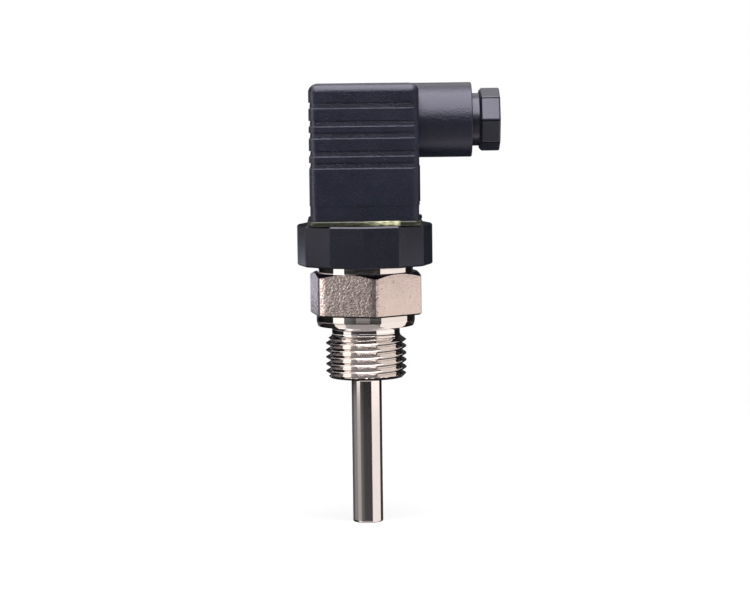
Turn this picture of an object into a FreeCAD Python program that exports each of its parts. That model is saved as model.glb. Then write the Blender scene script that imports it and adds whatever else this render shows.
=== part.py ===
import FreeCAD, Part

import math
import os
import re

import Sketcher

# Screw-in resistance thermometer with a right-angle plug connector, in millimetres.
# The origin is the centre of the sealing face under the collar. +Z runs up to the connector,
# -Z down the thread and the probe, and +X out through the cable gland.

# Each size is a name, its value in millimetres (degrees for a turn, a number for a count) and what it is.
SIZES = [
    ("probe_diameter", 7.85, "outside of the probe tube"),
    ("probe_wall", 0.6, "wall of the probe tube"),
    ("probe_reach", 51.4, "sealing face to the tip"),
    ("probe_floor", 0.8, "closed end of the tube"),
    ("probe_edge", 0.3, "bevel round the tip"),
    ("probe_seat", 2, "top of the tube above the sealing face"),
    ("bead_diameter", 9, "weld bead where the tube leaves the thread"),
    ("bead_height", 0.6, "height of the weld bead"),
    ("turned_gap", 0.05, "radial gap between turned pieces that fit in each other"),
    ("element_diameter", 3.4, "ceramic resistor"),
    ("element_length", 12.4, "ceramic resistor"),
    ("compound_floor", 0.8, "filling under the resistor"),
    ("insulator_diameter", 6, "three-bore rod in the tube"),
    ("insulator_rise", 2, "rod above the top of the tube"),
    ("lead_diameter", 0.9, "insulated lead"),
    ("lead_circle", 2.4, "circle through the leads inside the rod"),
    ("lead_run", 2, "straight run of a lead before and after its bends"),
    ("lead_bend", 3, "radius of a lead's bends"),
    ("thread_diameter", 20.955, "outside of the pipe thread"),
    ("thread_reach", 13.5, "sealing face to the end of the thread"),
    ("thread_bevel", 1.1, "bevel at the end of the thread"),
    ("thread_pitch", 1.814, "crest to crest, the turns of the thread drawn as separate rings"),
    ("thread_depth", 1.162, "crest to root"),
    ("thread_root", 0.15, "flat left at the root"),
    ("thread_flank_angle", 27.5, "slope of a flank"),
    ("thread_rings", 5, "ring grooves"),
    ("thread_first_root", 5, "sealing face to the middle of the first ring groove"),
    ("undercut_diameter", 17.6, "groove between thread and collar"),
    ("undercut_width", 2.5, "groove between thread and collar"),
    ("undercut_slope", 1.25, "slope between the groove and the thread, along the axis"),
    ("collar_diameter", 25.5, "round sealing collar"),
    ("collar_height", 3, "round sealing collar"),
    ("collar_edge", 0.3, "bevel under the collar"),
    ("hexagon_across_flats", 27, "spanner size"),
    ("hexagon_height", 11, "height of the hexagon"),
    ("hexagon_turn", -20.6, "angle of the first corner from +X"),
    ("hexagon_bevel_angle", 30, "slope of the bevel on top of the hexagon"),
    ("neck_shoulder", 0.4, "width of the shoulder between the bare neck and the spigot"),
    ("neck_length", 1.75, "bare neck over the hexagon"),
    ("spigot_wall", 1.8, "wall of the spigot that carries the head, its thread left plain"),
    ("spigot_length", 6.2, "spigot above the neck"),
    ("spigot_bevel", 0.6, "bevel on top of the spigot"),
    ("tail_room", 0.8, "room between the blade tails and the wide bore round them"),
    ("wiring_bore_depth", 13.4, "wide bore, from the top of the spigot"),
    ("lower_bore", 13, "narrower bore below it"),
    ("ring_section", 1.2, "thickness of the neck's rubber ring"),
    ("ring_squash_room", 0.04, "room left over the rubber ring"),
    ("head_sides", 12, "flat sides of the plug head"),
    ("head_across_flats", 33.8, "plug head"),
    ("head_height", 10.7, "plug head"),
    ("head_turn", -1, "angle of the first corner from +X"),
    ("head_edge", 0.4, "bevel on the plug head's rims"),
    ("bush_boss_diameter", 8.4, "boss round the bush under the head's roof"),
    ("bush_diameter", 5.5, "brass bush"),
    ("bush_length", 5.25, "brass bush, flush with the top of the head"),
    ("bush_boss_floor", 0.8, "boss below the bush"),
    ("bush_groove", 0.5, "depth of the groove that keys the bush into the moulding"),
    ("blade_circle", 18, "distance between opposite blades"),
    ("blade_width", 6.3, "flat blade"),
    ("blade_thickness", 0.8, "flat blade"),
    ("blade_reach", 10.5, "blade above the head"),
    ("earth_reach", 11.5, "earth blade above the head"),
    ("blade_tail", 5.2, "blade below the head's roof"),
    ("blade_tail_width", 3.2, "narrow soldering tail of a blade"),
    ("blade_tip", 0.9, "slanted corners at a blade's tip"),
    ("moulding_gap", 0.01, "gap drawn between a blade or bush and the moulding that holds it"),
    ("gasket_side", 29.4, "square gasket"),
    ("gasket_thickness", 1.3, "square gasket"),
    ("gasket_corner", 2.6, "corner radius of the gasket"),
    ("gasket_slot_room", 0.35, "room round a blade in the gasket"),
    ("gasket_hole", 6.4, "hole in the middle of the gasket"),
    ("housing_side", 28, "square connector housing"),
    ("housing_height", 34.8, "connector housing"),
    ("housing_corner", 2.1, "radius of its upright and top edges"),
    ("housing_wall", 1.8, "side walls"),
    ("housing_roof", 2.4, "roof"),
    ("chamber_corner", 1, "radius of the inner upright edges"),
    ("skirt_height", 3.88, "slightly smaller foot of the housing"),
    ("skirt_inset", 0.15, "how far the foot stands back"),
    ("column_diameter", 9.4, "column round the fixing screw"),
    ("screw_hole", 3.4, "hole for the fixing screw"),
    ("screw_recess", 6.8, "recess for the screw's head"),
    ("screw_recess_depth", 5.7, "recess for the screw's head"),
    ("groove_height", 1.65, "grip groove"),
    ("groove_depth", 0.4, "grip groove at its top edge"),
    ("groove_ledge", 0.3, "grip groove at the slanted ledge along its foot"),
    ("groove_start", 4.7, "top of the first grip groove below the top of the housing"),
    ("groove_wide_pitch", 4.58, "first to second groove, and third to fourth"),
    ("groove_narrow_pitch", 3.04, "second to third groove, and fourth to fifth"),
    ("groove_end", 1.1, "end of the grip grooves from the gland side's face"),
    ("barrel_diameter", 19.2, "round cable barrel"),
    ("barrel_drop", 0.03, "top of the barrel below the top of the housing"),
    ("barrel_reach", 27.8, "middle of the housing to the end of the barrel"),
    ("barrel_edge", 0.3, "rounding at the end of the barrel"),
    ("barrel_seat", 15, "middle of the housing to the grommet's seat"),
    ("barrel_passage", 9, "cable passage behind the grommet"),
    ("lever_pad_width", 12, "raised pad under the barrel"),
    ("lever_pad_height", 9.1, "raised pad under the barrel"),
    ("lever_pad_thickness", 0.35, "raised pad under the barrel"),
    ("lever_pad_foot", 4.55, "foot of the housing to the pad"),
    ("lever_lip_width", 8, "small lip at the foot of the housing"),
    ("lever_lip_height", 0.65, "small lip at the foot of the housing"),
    ("lever_lip_reach", 0.8, "small lip at the foot of the housing"),
    ("insert_gap", 0.15, "gap between the insert and the housing on each side"),
    ("insert_height", 16.5, "terminal insert"),
    ("insert_floor", 1.3, "floor of a contact chamber"),
    ("insert_hole", 3.8, "hole for the fixing screw"),
    ("insert_slot_room", 0.2, "room round a blade in the insert's floor"),
    ("wire_notch_width", 3, "notch for a wire in the insert's rim"),
    ("wire_notch_depth", 3.4, "notch for a wire in the insert's rim"),
    ("contact_width", 7.6, "socket contact"),
    ("contact_thickness", 5.2, "socket contact"),
    ("contact_height", 13.2, "socket contact"),
    ("contact_back", 0.5, "middle of a contact behind its blade, towards the fixing screw"),
    ("contact_slot_depth", 9.2, "slot that takes a blade"),
    ("contact_gap", 0.04, "gap on each side of a blade in its contact"),
    ("contact_edge", 0.3, "bevel on a contact's upright edges"),
    ("chamber_gap", 0.05, "gap between a contact and its chamber"),
    ("clamp_screw_diameter", 3, "clamp screw, its thread left plain"),
    ("clamp_screw_length", 3.2, "clamp screw under its head"),
    ("clamp_screw_head", 5, "clamp screw's head"),
    ("clamp_screw_head_height", 1.6, "clamp screw's head"),
    ("fixing_screw_diameter", 3, "fixing screw, its thread left plain"),
    ("fixing_screw_grip", 3.75, "depth of the fixing screw in its bush"),
    ("fixing_screw_head", 5.8, "fixing screw's head"),
    ("fixing_screw_head_height", 2.6, "fixing screw's head"),
    ("screw_slot_width", 0.8, "slot in a screw's head"),
    ("screw_slot_share", 0.5, "share of the head's height that the slot takes"),
    ("screw_tip", 0.4, "bevel at the end of a screw"),
    ("seal_diameter", 6.2, "rubber ring under the fixing screw's head"),
    ("seal_thickness", 0.8, "rubber ring under the fixing screw's head"),
    ("grommet_diameter", 14.7, "cable grommet"),
    ("grommet_bore", 7.2, "cable grommet"),
    ("grommet_length", 5.2, "cable grommet"),
    ("grommet_bevel", 0.9, "bevels on the grommet"),
    ("washer_diameter", 14.6, "thrust washer"),
    ("washer_bore", 9.8, "thrust washer"),
    ("washer_thickness", 0.8, "thrust washer"),
    ("gland_thread_diameter", 15.2, "gland nut's thread, left plain"),
    ("gland_thread_length", 6.3, "gland nut's thread"),
    ("gland_neck_diameter", 13.55, "bare neck between the thread and the nut's head"),
    ("gland_bare_length", 1.9, "bare neck that shows between barrel and nut"),
    ("gland_sides", 8, "flat sides of the gland nut"),
    ("gland_across_flats", 14.9, "gland nut"),
    ("gland_head_length", 5.35, "gland nut's head"),
    ("gland_thread_bevel", 0.5, "bevel at the start of the nut's thread"),
    ("gland_head_bevel", 0.9, "bevel on the barrel side of the nut's head"),
    ("gland_rim_round", 0.9, "rounding on the outer rim of the nut's head"),
    ("gland_rim_over", 0.04, "start of that rounding outside the corners"),
    ("gland_bore", 8.8, "hole for the cable"),
    ("gland_mouth", 0.7, "bevel at the mouth of the cable hole"),
]

# Levels above the sealing face, as expressions of the sizes.
HEXAGON_TOP = "(collar_height + hexagon_height)"
HEAD_BASE = f"({HEXAGON_TOP} + neck_length)"
SPIGOT_TOP = f"({HEAD_BASE} + spigot_length)"
ROOF_UNDERSIDE = f"({SPIGOT_TOP} + ring_section + ring_squash_room)"
HEAD_TOP = f"({HEAD_BASE} + head_height)"
GASKET_TOP = f"({HEAD_TOP} + gasket_thickness)"
CONTACT_BASE = f"({GASKET_TOP} + insert_floor)"
CONTACT_TOP = f"({CONTACT_BASE} + contact_height)"
HOUSING_TOP = f"({GASKET_TOP} + housing_height)"
RECESS_FLOOR = f"({HOUSING_TOP} - screw_recess_depth)"
BARREL_LEVEL = f"({HOUSING_TOP} - barrel_drop - barrel_diameter / 2)"
BARREL_RISE = "(housing_height - barrel_drop - barrel_diameter / 2)"
ELEMENT_BASE = "(probe_floor + compound_floor - probe_reach)"
ELEMENT_TOP = f"({ELEMENT_BASE} + element_length)"
INSULATOR_TOP = "(probe_seat + insulator_rise)"
TAIL_END = f"({ROOF_UNDERSIDE} - blade_tail)"

# Distances from the middle of the housing along the gland's axis.
WASHER_START = "(barrel_seat + grommet_length)"
NUT_START = f"({WASHER_START} + washer_thickness)"
NUT_THREAD_END = f"({NUT_START} + gland_thread_length)"
NUT_HEAD_START = "(barrel_reach + gland_bare_length)"
NUT_END = f"({NUT_HEAD_START} + gland_head_length)"

# Widths and lengths that follow from others.
WIRING_BORE = "(blade_circle + blade_thickness + 2 * tail_room)"
SPIGOT_DIAMETER = f"({WIRING_BORE} + 2 * spigot_wall)"
NECK_DIAMETER = f"({SPIGOT_DIAMETER} + 2 * neck_shoulder)"
CONTACT_CIRCLE = "(blade_circle - 2 * contact_back)"
FIXING_SCREW_LENGTH = f"({RECESS_FLOOR} + seal_thickness - {HEAD_TOP} + fixing_screw_grip)"
CHAMBER_SIDE = "(housing_side - 2 * housing_wall)"
INSERT_SIDE = f"({CHAMBER_SIDE} - 2 * insert_gap)"
TUBE_BORE = "(probe_diameter - 2 * probe_wall)"
QUARTER_TURNS = (0, 90, 180, 270)

NAMES = {name for name, value, meaning in SIZES}

doc = FreeCAD.newDocument("TemperatureProbe")


def fill_sheet():
    """The spreadsheet that holds every size under its name."""
    sheet = doc.addObject("Spreadsheet::Sheet", "Sizes")
    for row, (name, value, meaning) in enumerate(SIZES, start=1):
        sheet.set(f"A{row}", name)
        sheet.set(f"B{row}", str(value))
        sheet.set(f"C{row}", meaning)
        sheet.setAlias(f"B{row}", name)
    doc.recompute()
    return sheet


def in_sheet(expression):
    """The expression with every size looked up in the sheet."""
    return re.sub(r"[a-z_]+", lambda word: f"Sizes.{word[0]}" if word[0] in NAMES else word[0], expression)


def value_of(expression):
    """What an expression of the sizes comes to."""
    return float(sheet.evalExpression(in_sheet(expression)))


def bind(thing, setting, expression):
    """Ties one setting of an object to an expression of the sizes."""
    thing.setExpression(setting, in_sheet(expression))


# Sketches

def sketch_on(body, role, name, right="0", up="0", out="0"):
    """A sketch on one of the body's own planes, moved along the sketch's own three directions."""
    sketch = body.newObject("Sketcher::SketchObject", name)
    plane = next(feature for feature in body.Origin.OriginFeatures if feature.Role == role)
    sketch.AttachmentSupport = [(plane, "")]
    sketch.MapMode = "FlatFace"
    for direction, distance in (("x", right), ("y", up), ("z", out)):
        if distance != "0":
            bind(sketch, f"AttachmentOffset.Base.{direction}", distance)
    return sketch


def hold(sketch, kind, place, expression):
    """Holds a point of the sketch at a distance from the sketch's origin."""
    edge, end = place
    number = sketch.addConstraint(
        Sketcher.Constraint(kind, -1, 1, edge, end, value_of(expression))
    )
    if expression != "0":
        bind(sketch, f"Constraints[{number}]", expression)


def draw_outline(sketch, corners):
    """A closed outline of straight edges, each corner held by its two distances."""
    points = [FreeCAD.Vector(value_of(right), value_of(up), 0) for right, up in corners]
    first = sketch.GeometryCount
    last = len(points) - 1
    for number, point in enumerate(points):
        following = points[0 if number == last else number + 1]
        sketch.addGeometry(Part.LineSegment(point, following))
    for number, (right, up) in enumerate(corners):
        following = 0 if number == last else number + 1
        sketch.addConstraint(
            Sketcher.Constraint("Coincident", first + number, 2, first + following, 1)
        )
        hold(sketch, "DistanceX", (first + number, 1), right)
        hold(sketch, "DistanceY", (first + number, 1), up)


def draw_rectangle(sketch, width, height, right="0", up="0"):
    """A rectangle about its middle."""
    low_right = f"{right} - {width} / 2"
    high_right = f"{right} + {width} / 2"
    low_up = f"{up} - {height} / 2"
    high_up = f"{up} + {height} / 2"
    corners = [(low_right, low_up), (high_right, low_up), (high_right, high_up), (low_right, high_up)]
    draw_outline(sketch, corners)


def draw_circle(sketch, diameter, right="0", up="0"):
    """A circle held by its middle and its diameter."""
    middle = FreeCAD.Vector(value_of(right), value_of(up), 0)
    circle = sketch.addGeometry(Part.Circle(middle, FreeCAD.Vector(0, 0, 1), value_of(diameter) / 2))
    hold(sketch, "DistanceX", (circle, 3), right)
    hold(sketch, "DistanceY", (circle, 3), up)
    number = sketch.addConstraint(Sketcher.Constraint("Diameter", circle, value_of(diameter)))
    bind(sketch, f"Constraints[{number}]", diameter)


def draw_polygon(sketch, sides, across_flats, turn):
    """A regular polygon about the origin, by the distance across its flats."""
    count = round(value_of(sides))
    corners = []
    for number in range(count):
        angle = f"({turn} + 360 * {number} / {sides})"
        radius = f"{across_flats} / 2 / cos(180 / {sides})"
        corners.append((f"{radius} * cos({angle})", f"{radius} * sin({angle})"))
    draw_outline(sketch, corners)


def draw_rounded_square(sketch, side, corner):
    """A square about the origin with round corners: four lines and four tangent arcs."""
    half = value_of(side) / 2
    radius = value_of(corner)
    flat = half - radius
    upright = FreeCAD.Vector(0, 0, 1)
    quarter = math.pi / 2
    ways = [(1, 1), (-1, 1), (-1, -1), (1, -1)]
    arcs = []
    for number, (right, up) in enumerate(ways):
        middle = FreeCAD.Vector(right * flat, up * flat, 0)
        circle = Part.Circle(middle, upright, radius)
        arcs.append(sketch.addGeometry(Part.ArcOfCircle(circle, number * quarter, (number + 1) * quarter)))
    lines = []
    for number in range(4):
        start = sketch.Geometry[arcs[number]].EndPoint
        end = sketch.Geometry[arcs[(number + 1) % 4]].StartPoint
        lines.append(sketch.addGeometry(Part.LineSegment(start, end)))
    for number, line in enumerate(lines):
        sketch.addConstraint(Sketcher.Constraint("Tangent", arcs[number], 2, line, 1))
        sketch.addConstraint(Sketcher.Constraint("Tangent", line, 2, arcs[(number + 1) % 4], 1))
    for arc, (right, up) in zip(arcs, ways):
        hold(sketch, "DistanceX", (arc, 3), f"{right} * ({side} / 2 - {corner})")
        hold(sketch, "DistanceY", (arc, 3), f"{up} * ({side} / 2 - {corner})")
    number = sketch.addConstraint(Sketcher.Constraint("Radius", arcs[0], radius))
    bind(sketch, f"Constraints[{number}]", corner)
    for arc in arcs[1:]:
        sketch.addConstraint(Sketcher.Constraint("Equal", arcs[0], arc))


# Features

def new_body(label, level="0", turn=0):
    """A body of its own, raised to its level and turned about the probe's axis."""
    body = doc.addObject("PartDesign::Body", label)
    body.Label = label
    body.Placement = FreeCAD.Placement(
        FreeCAD.Vector(), FreeCAD.Rotation(FreeCAD.Vector(0, 0, 1), turn)
    )
    if level != "0":
        bind(body, "Placement.Base.z", level)
    return body


def pad(body, sketch, length):
    """Material from the sketch outwards."""
    feature = body.newObject("PartDesign::Pad", "Pad")
    feature.Profile = sketch
    bind(feature, "Length", length)
    return feature


def pad_both_ways(body, sketch, length):
    """Material on both sides of the sketch."""
    feature = pad(body, sketch, length)
    feature.SideType = "Symmetric"
    return feature


def cut(body, sketch, depth, upwards=False):
    """A pocket from the sketch into the material, which lies below it or above it."""
    feature = body.newObject("PartDesign::Pocket", "Pocket")
    feature.Profile = sketch
    feature.Reversed = upwards
    bind(feature, "Length", depth)
    return feature


def revolve(body, sketch, axis, kind="PartDesign::Revolution"):
    """A full turn of the sketch about one of its own axes, as material or as a cut."""
    feature = body.newObject(kind, "Turned")
    feature.Profile = sketch
    feature.ReferenceAxis = (sketch, [axis])
    feature.Angle = 360
    return feature


def repeat_four_times(body, features):
    """The features again at each quarter turn about the body's upright axis."""
    pattern = body.newObject("PartDesign::PolarPattern", "QuarterTurns")
    pattern.Originals = features
    upright = next(feature for feature in body.Origin.OriginFeatures if feature.Role == "Z_Axis")
    pattern.Axis = (upright, [""])
    pattern.Angle = 360
    pattern.Occurrences = len(QUARTER_TURNS)
    body.Tip = pattern
    return pattern


def edges_of(feature, chosen):
    """Names of the edges of a feature whose box passes the test."""
    doc.recompute()
    return [
        f"Edge{number}"
        for number, edge in enumerate(feature.Shape.Edges, start=1)
        if chosen(edge.BoundBox)
    ]


def dress(body, feature, kind, edges, size):
    """A fillet or a chamfer along the named edges."""
    dressing = body.newObject(f"PartDesign::{kind}", kind)
    dressing.Base = (feature, edges)
    bind(dressing, "Radius" if kind == "Fillet" else "Size", size)
    return dressing


def near(first, second):
    """True where two lengths agree within a hundredth."""
    return abs(first - second) < 0.01


def turned(label, corners, level="0", turn=0, right="0"):
    """A piece turned about an upright axis from an outline of radius and height."""
    body = new_body(label, level, turn)
    sketch = sketch_on(body, "XZ_Plane", "Outline", right=right)
    draw_outline(sketch, corners)
    revolve(body, sketch, "V_Axis")
    return body


def turned_along_gland(label, corners):
    """A piece turned about the gland's axis from an outline of reach and radius."""
    body = new_body(label, BARREL_LEVEL)
    sketch = sketch_on(body, "XZ_Plane", "Outline")
    draw_outline(sketch, corners)
    revolve(body, sketch, "H_Axis")
    return body


# The metal half

def process_connection():
    """One turned steel piece: thread, undercut, collar, hexagon, neck and hollow spigot."""
    body = new_body("process_connection")
    outside = sketch_on(body, "XZ_Plane", "Outside")
    draw_outline(outside, [
        ("0", "-thread_reach"),
        ("thread_diameter / 2 - thread_bevel", "-thread_reach"),
        ("thread_diameter / 2", "thread_bevel - thread_reach"),
        ("thread_diameter / 2", "-undercut_width - undercut_slope"),
        ("undercut_diameter / 2", "-undercut_width"),
        ("undercut_diameter / 2", "0"),
        ("collar_diameter / 2 - collar_edge", "0"),
        ("collar_diameter / 2", "collar_edge"),
        ("collar_diameter / 2", "collar_height"),
        (f"{NECK_DIAMETER} / 2", "collar_height"),
        (f"{NECK_DIAMETER} / 2", HEAD_BASE),
        (f"{SPIGOT_DIAMETER} / 2", HEAD_BASE),
        (f"{SPIGOT_DIAMETER} / 2", f"{SPIGOT_TOP} - spigot_bevel"),
        (f"{SPIGOT_DIAMETER} / 2 - spigot_bevel", SPIGOT_TOP),
        ("0", SPIGOT_TOP),
    ])
    revolve(body, outside, "V_Axis")

    hexagon = sketch_on(body, "XY_Plane", "Hexagon", out="collar_height")
    draw_polygon(hexagon, "6", "hexagon_across_flats", "hexagon_turn")
    pad(body, hexagon, "hexagon_height")

    # The bevel starts at the circle that touches the flats and leaves the curved lines on them.
    bevel = sketch_on(body, "XZ_Plane", "Bevel")
    past_corner = "hexagon_across_flats"
    draw_outline(bevel, [
        ("hexagon_across_flats / 2", HEXAGON_TOP),
        (past_corner, f"{HEXAGON_TOP} - hexagon_across_flats / 2 * tan(hexagon_bevel_angle)"),
        (past_corner, HEXAGON_TOP),
    ])
    revolve(body, bevel, "V_Axis", "PartDesign::Groove")

    cut_thread_rings(body)

    inside = sketch_on(body, "XZ_Plane", "Inside")
    wide_floor = f"({SPIGOT_TOP} - wiring_bore_depth)"
    draw_outline(inside, [
        ("0", "-thread_reach"),
        ("probe_diameter / 2 + turned_gap", "-thread_reach"),
        ("probe_diameter / 2 + turned_gap", "probe_seat"),
        ("lower_bore / 2", "probe_seat"),
        ("lower_bore / 2", f"{wide_floor} - ({WIRING_BORE} - lower_bore) / 2"),
        (f"{WIRING_BORE} / 2", wide_floor),
        (f"{WIRING_BORE} / 2", SPIGOT_TOP),
        ("0", SPIGOT_TOP),
    ])
    revolve(body, inside, "V_Axis", "PartDesign::Groove")


def cut_thread_rings(body):
    """The profile of the pipe thread as ring grooves, one for each turn that shows."""
    root = "(thread_diameter / 2 - thread_depth)"
    past = "(thread_diameter / 2 + thread_depth)"
    half_root = "thread_root / 2"
    half_past = "(thread_root / 2 + 2 * thread_depth * tan(thread_flank_angle))"
    for number in range(round(value_of("thread_rings"))):
        middle = f"(-thread_first_root - {number} * thread_pitch)"
        ring = sketch_on(body, "XZ_Plane", "ThreadRing")
        draw_outline(ring, [
            (root, f"{middle} - {half_root}"),
            (past, f"{middle} - {half_past}"),
            (past, f"{middle} + {half_past}"),
            (root, f"{middle} + {half_root}"),
        ])
        revolve(body, ring, "V_Axis", "PartDesign::Groove")


def probe_tube():
    """Closed tube, with the weld bead that joins it to the end of the thread."""
    bore = f"{TUBE_BORE} / 2"
    turned("probe_tube", [
        ("0", "-probe_reach"),
        ("probe_diameter / 2 - probe_edge", "-probe_reach"),
        ("probe_diameter / 2", "probe_edge - probe_reach"),
        ("probe_diameter / 2", "-thread_reach - bead_height"),
        ("bead_diameter / 2", "-thread_reach"),
        ("probe_diameter / 2", "-thread_reach"),
        ("probe_diameter / 2", "probe_seat"),
        (bore, "probe_seat"),
        (bore, "probe_floor - probe_reach"),
        ("0", "probe_floor - probe_reach"),
    ])


def sensing_element():
    """Wound resistor in its ceramic case."""
    turned("sensing_element", [
        ("0", ELEMENT_BASE),
        ("element_diameter / 2", ELEMENT_BASE),
        ("element_diameter / 2", ELEMENT_TOP),
        ("0", ELEMENT_TOP),
    ])


def thermal_compound():
    """The filling between the resistor and the tube."""
    outer = f"{TUBE_BORE} / 2 - turned_gap"
    inner = "element_diameter / 2 + turned_gap"
    turned("thermal_compound", [
        ("0", "probe_floor - probe_reach"),
        (outer, "probe_floor - probe_reach"),
        (outer, ELEMENT_TOP),
        (inner, ELEMENT_TOP),
        (inner, ELEMENT_BASE),
        ("0", ELEMENT_BASE),
    ])


def wire_insulator():
    """Ceramic rod with one bore for each lead."""
    body = new_body("wire_insulator", ELEMENT_TOP)
    length = f"{INSULATOR_TOP} - {ELEMENT_TOP}"
    rod = sketch_on(body, "XY_Plane", "Rod")
    draw_circle(rod, "insulator_diameter")
    for turn in QUARTER_TURNS[:3]:
        middle = (f"lead_circle / 2 * cos({turn})", f"lead_circle / 2 * sin({turn})")
        draw_circle(rod, "lead_diameter + 2 * turned_gap", *middle)
    pad(body, rod, length)


def lead_wire(number, turn):
    """An insulated lead: up through the rod, slanting outwards, and up to its blade's tail."""
    radius = value_of("lead_bend")
    inner = value_of("lead_circle / 2")
    outer = value_of("blade_circle / 2")
    run = value_of("lead_run")
    points = [
        FreeCAD.Vector(inner, 0, value_of(ELEMENT_TOP)),
        FreeCAD.Vector(inner, 0, value_of(INSULATOR_TOP) + run),
        FreeCAD.Vector(outer, 0, value_of(TAIL_END) - run),
        FreeCAD.Vector(outer, 0, value_of(TAIL_END)),
    ]
    route = Part.Wire(bent_line(points, radius))
    section = Part.Wire(Part.makeCircle(value_of("lead_diameter") / 2, points[0]))
    lead = doc.addObject("Part::Feature", f"lead_wire_{number}")
    lead.Label = f"lead_wire_{number}"
    lead.Shape = route.makePipeShell([section], True, True)
    lead.Placement = FreeCAD.Placement(
        FreeCAD.Vector(), FreeCAD.Rotation(FreeCAD.Vector(0, 0, 1), turn)
    )


def bent_line(points, radius):
    """Straight runs through the points, joined by tangent arcs of one radius."""
    edges = []
    start = points[0]
    for before, corner, after in zip(points, points[1:], points[2:]):
        back = (before - corner).normalize()
        on = (after - corner).normalize()
        half_turn = (math.pi - back.getAngle(on)) / 2
        arc_start = corner + back * (radius * math.tan(half_turn))
        arc_end = corner + on * (radius * math.tan(half_turn))
        inwards = (back + on).normalize()
        middle = corner + inwards * (radius / math.cos(half_turn) - radius)
        edges.append(Part.LineSegment(start, arc_start).toShape())
        edges.append(Part.Arc(arc_start, middle, arc_end).toShape())
        start = arc_end
    edges.append(Part.LineSegment(start, points[-1]).toShape())
    return edges


def neck_o_ring():
    """Rubber ring on top of the spigot, under the head's roof."""
    ring = doc.addObject("Part::Torus", "neck_o_ring")
    ring.Label = "neck_o_ring"
    bind(ring, "Radius1", f"({SPIGOT_DIAMETER} + {WIRING_BORE}) / 4")
    bind(ring, "Radius2", "ring_section / 2")
    bind(ring, "Placement.Base.z", f"{SPIGOT_TOP} + ring_section / 2 + ring_squash_room / 2")


# The plug head with its blades

def blade_openings(body, room):
    """Sketch of one slot for a blade, seen from above, on the +X side."""
    slot = sketch_on(body, "XY_Plane", "BladeSlot")
    draw_rectangle(
        slot,
        f"(blade_thickness + 2 * {room})",
        f"(blade_width + 2 * {room})",
        right="blade_circle / 2",
    )
    return slot


def plug_head():
    """Twelve-sided moulding: screwed over the spigot, with the blades and the bush moulded in."""
    body = new_body("plug_head", HEAD_BASE)
    rim = sketch_on(body, "XY_Plane", "Rim")
    draw_polygon(rim, "head_sides", "head_across_flats", "head_turn")
    block = pad(body, rim, "head_height")
    rims = edges_of(block, lambda box: near(box.ZMin, box.ZMax))
    dress(body, block, "Chamfer", rims, "head_edge")

    roof = f"({ROOF_UNDERSIDE} - {HEAD_BASE})"
    boss_foot = "(head_height - bush_length - bush_boss_floor)"
    hollow = sketch_on(body, "XZ_Plane", "Hollow")
    draw_outline(hollow, [
        ("0", "0"),
        (f"{SPIGOT_DIAMETER} / 2 + turned_gap", "0"),
        (f"{SPIGOT_DIAMETER} / 2 + turned_gap", roof),
        ("bush_boss_diameter / 2", roof),
        ("bush_boss_diameter / 2", boss_foot),
        ("0", boss_foot),
    ])
    revolve(body, hollow, "V_Axis", "PartDesign::Groove")

    socket = sketch_on(body, "XZ_Plane", "BushSocket")
    bush_outline(socket, "head_height - bush_length", "moulding_gap")
    revolve(body, socket, "V_Axis", "PartDesign::Groove")

    slot = blade_openings(body, "moulding_gap")
    first = cut(body, slot, "head_height", upwards=True)
    repeat_four_times(body, [first])


def bush_outline(sketch, foot, room):
    """Half section of the bush with the groove that keys it, as a full shape to cut or to revolve."""
    outer = f"(bush_diameter / 2 + {room})"
    groove = f"(bush_diameter / 2 - bush_groove + {room})"
    draw_outline(sketch, [
        ("0", foot),
        (outer, foot),
        (outer, f"{foot} + bush_length / 3"),
        (groove, f"{foot} + bush_length / 3 + bush_groove"),
        (groove, f"{foot} + 2 * bush_length / 3 - bush_groove"),
        (outer, f"{foot} + 2 * bush_length / 3"),
        (outer, f"{foot} + bush_length"),
        ("0", f"{foot} + bush_length"),
    ])


def threaded_bush():
    """Brass bush for the fixing screw, its thread left plain."""
    body = new_body("threaded_bush", f"{HEAD_TOP} - bush_length")
    outside = sketch_on(body, "XZ_Plane", "Outside")
    bush_outline(outside, "0", "0")
    revolve(body, outside, "V_Axis")
    bore = sketch_on(body, "XY_Plane", "Bore")
    draw_circle(bore, "fixing_screw_diameter + 2 * turned_gap")
    cut(body, bore, "bush_length", upwards=True)


def contact_blade(label, turn, reach):
    """A flat stamped blade with a narrow tail, standing upright at its place on the circle."""
    body = new_body(label, HEAD_TOP, turn)
    outline = sketch_on(body, "YZ_Plane", "Outline", out="blade_circle / 2")
    side = "blade_width / 2"
    tail = "blade_tail_width / 2"
    shoulder = f"{ROOF_UNDERSIDE} - {HEAD_TOP}"
    foot = f"{TAIL_END} - {HEAD_TOP}"
    draw_outline(outline, [
        (f"-{tail}", foot),
        (tail, foot),
        (tail, shoulder),
        (side, shoulder),
        (side, f"{reach} - blade_tip"),
        (f"{side} - blade_tip / 2", reach),
        (f"blade_tip / 2 - {side}", reach),
        (f"-{side}", f"{reach} - blade_tip"),
        (f"-{side}", shoulder),
        (f"-{tail}", shoulder),
    ])
    pad_both_ways(body, outline, "blade_thickness")


def head_gasket():
    """Flat square gasket with a slot round each blade."""
    body = new_body("head_gasket", HEAD_TOP)
    square = sketch_on(body, "XY_Plane", "Square")
    draw_rounded_square(square, "gasket_side", "gasket_corner")
    draw_circle(square, "gasket_hole")
    pad(body, square, "gasket_thickness")
    slot = blade_openings(body, "gasket_slot_room")
    first = cut(body, slot, "gasket_thickness", upwards=True)
    repeat_four_times(body, [first])


# The connector that is pulled off upwards

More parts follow.
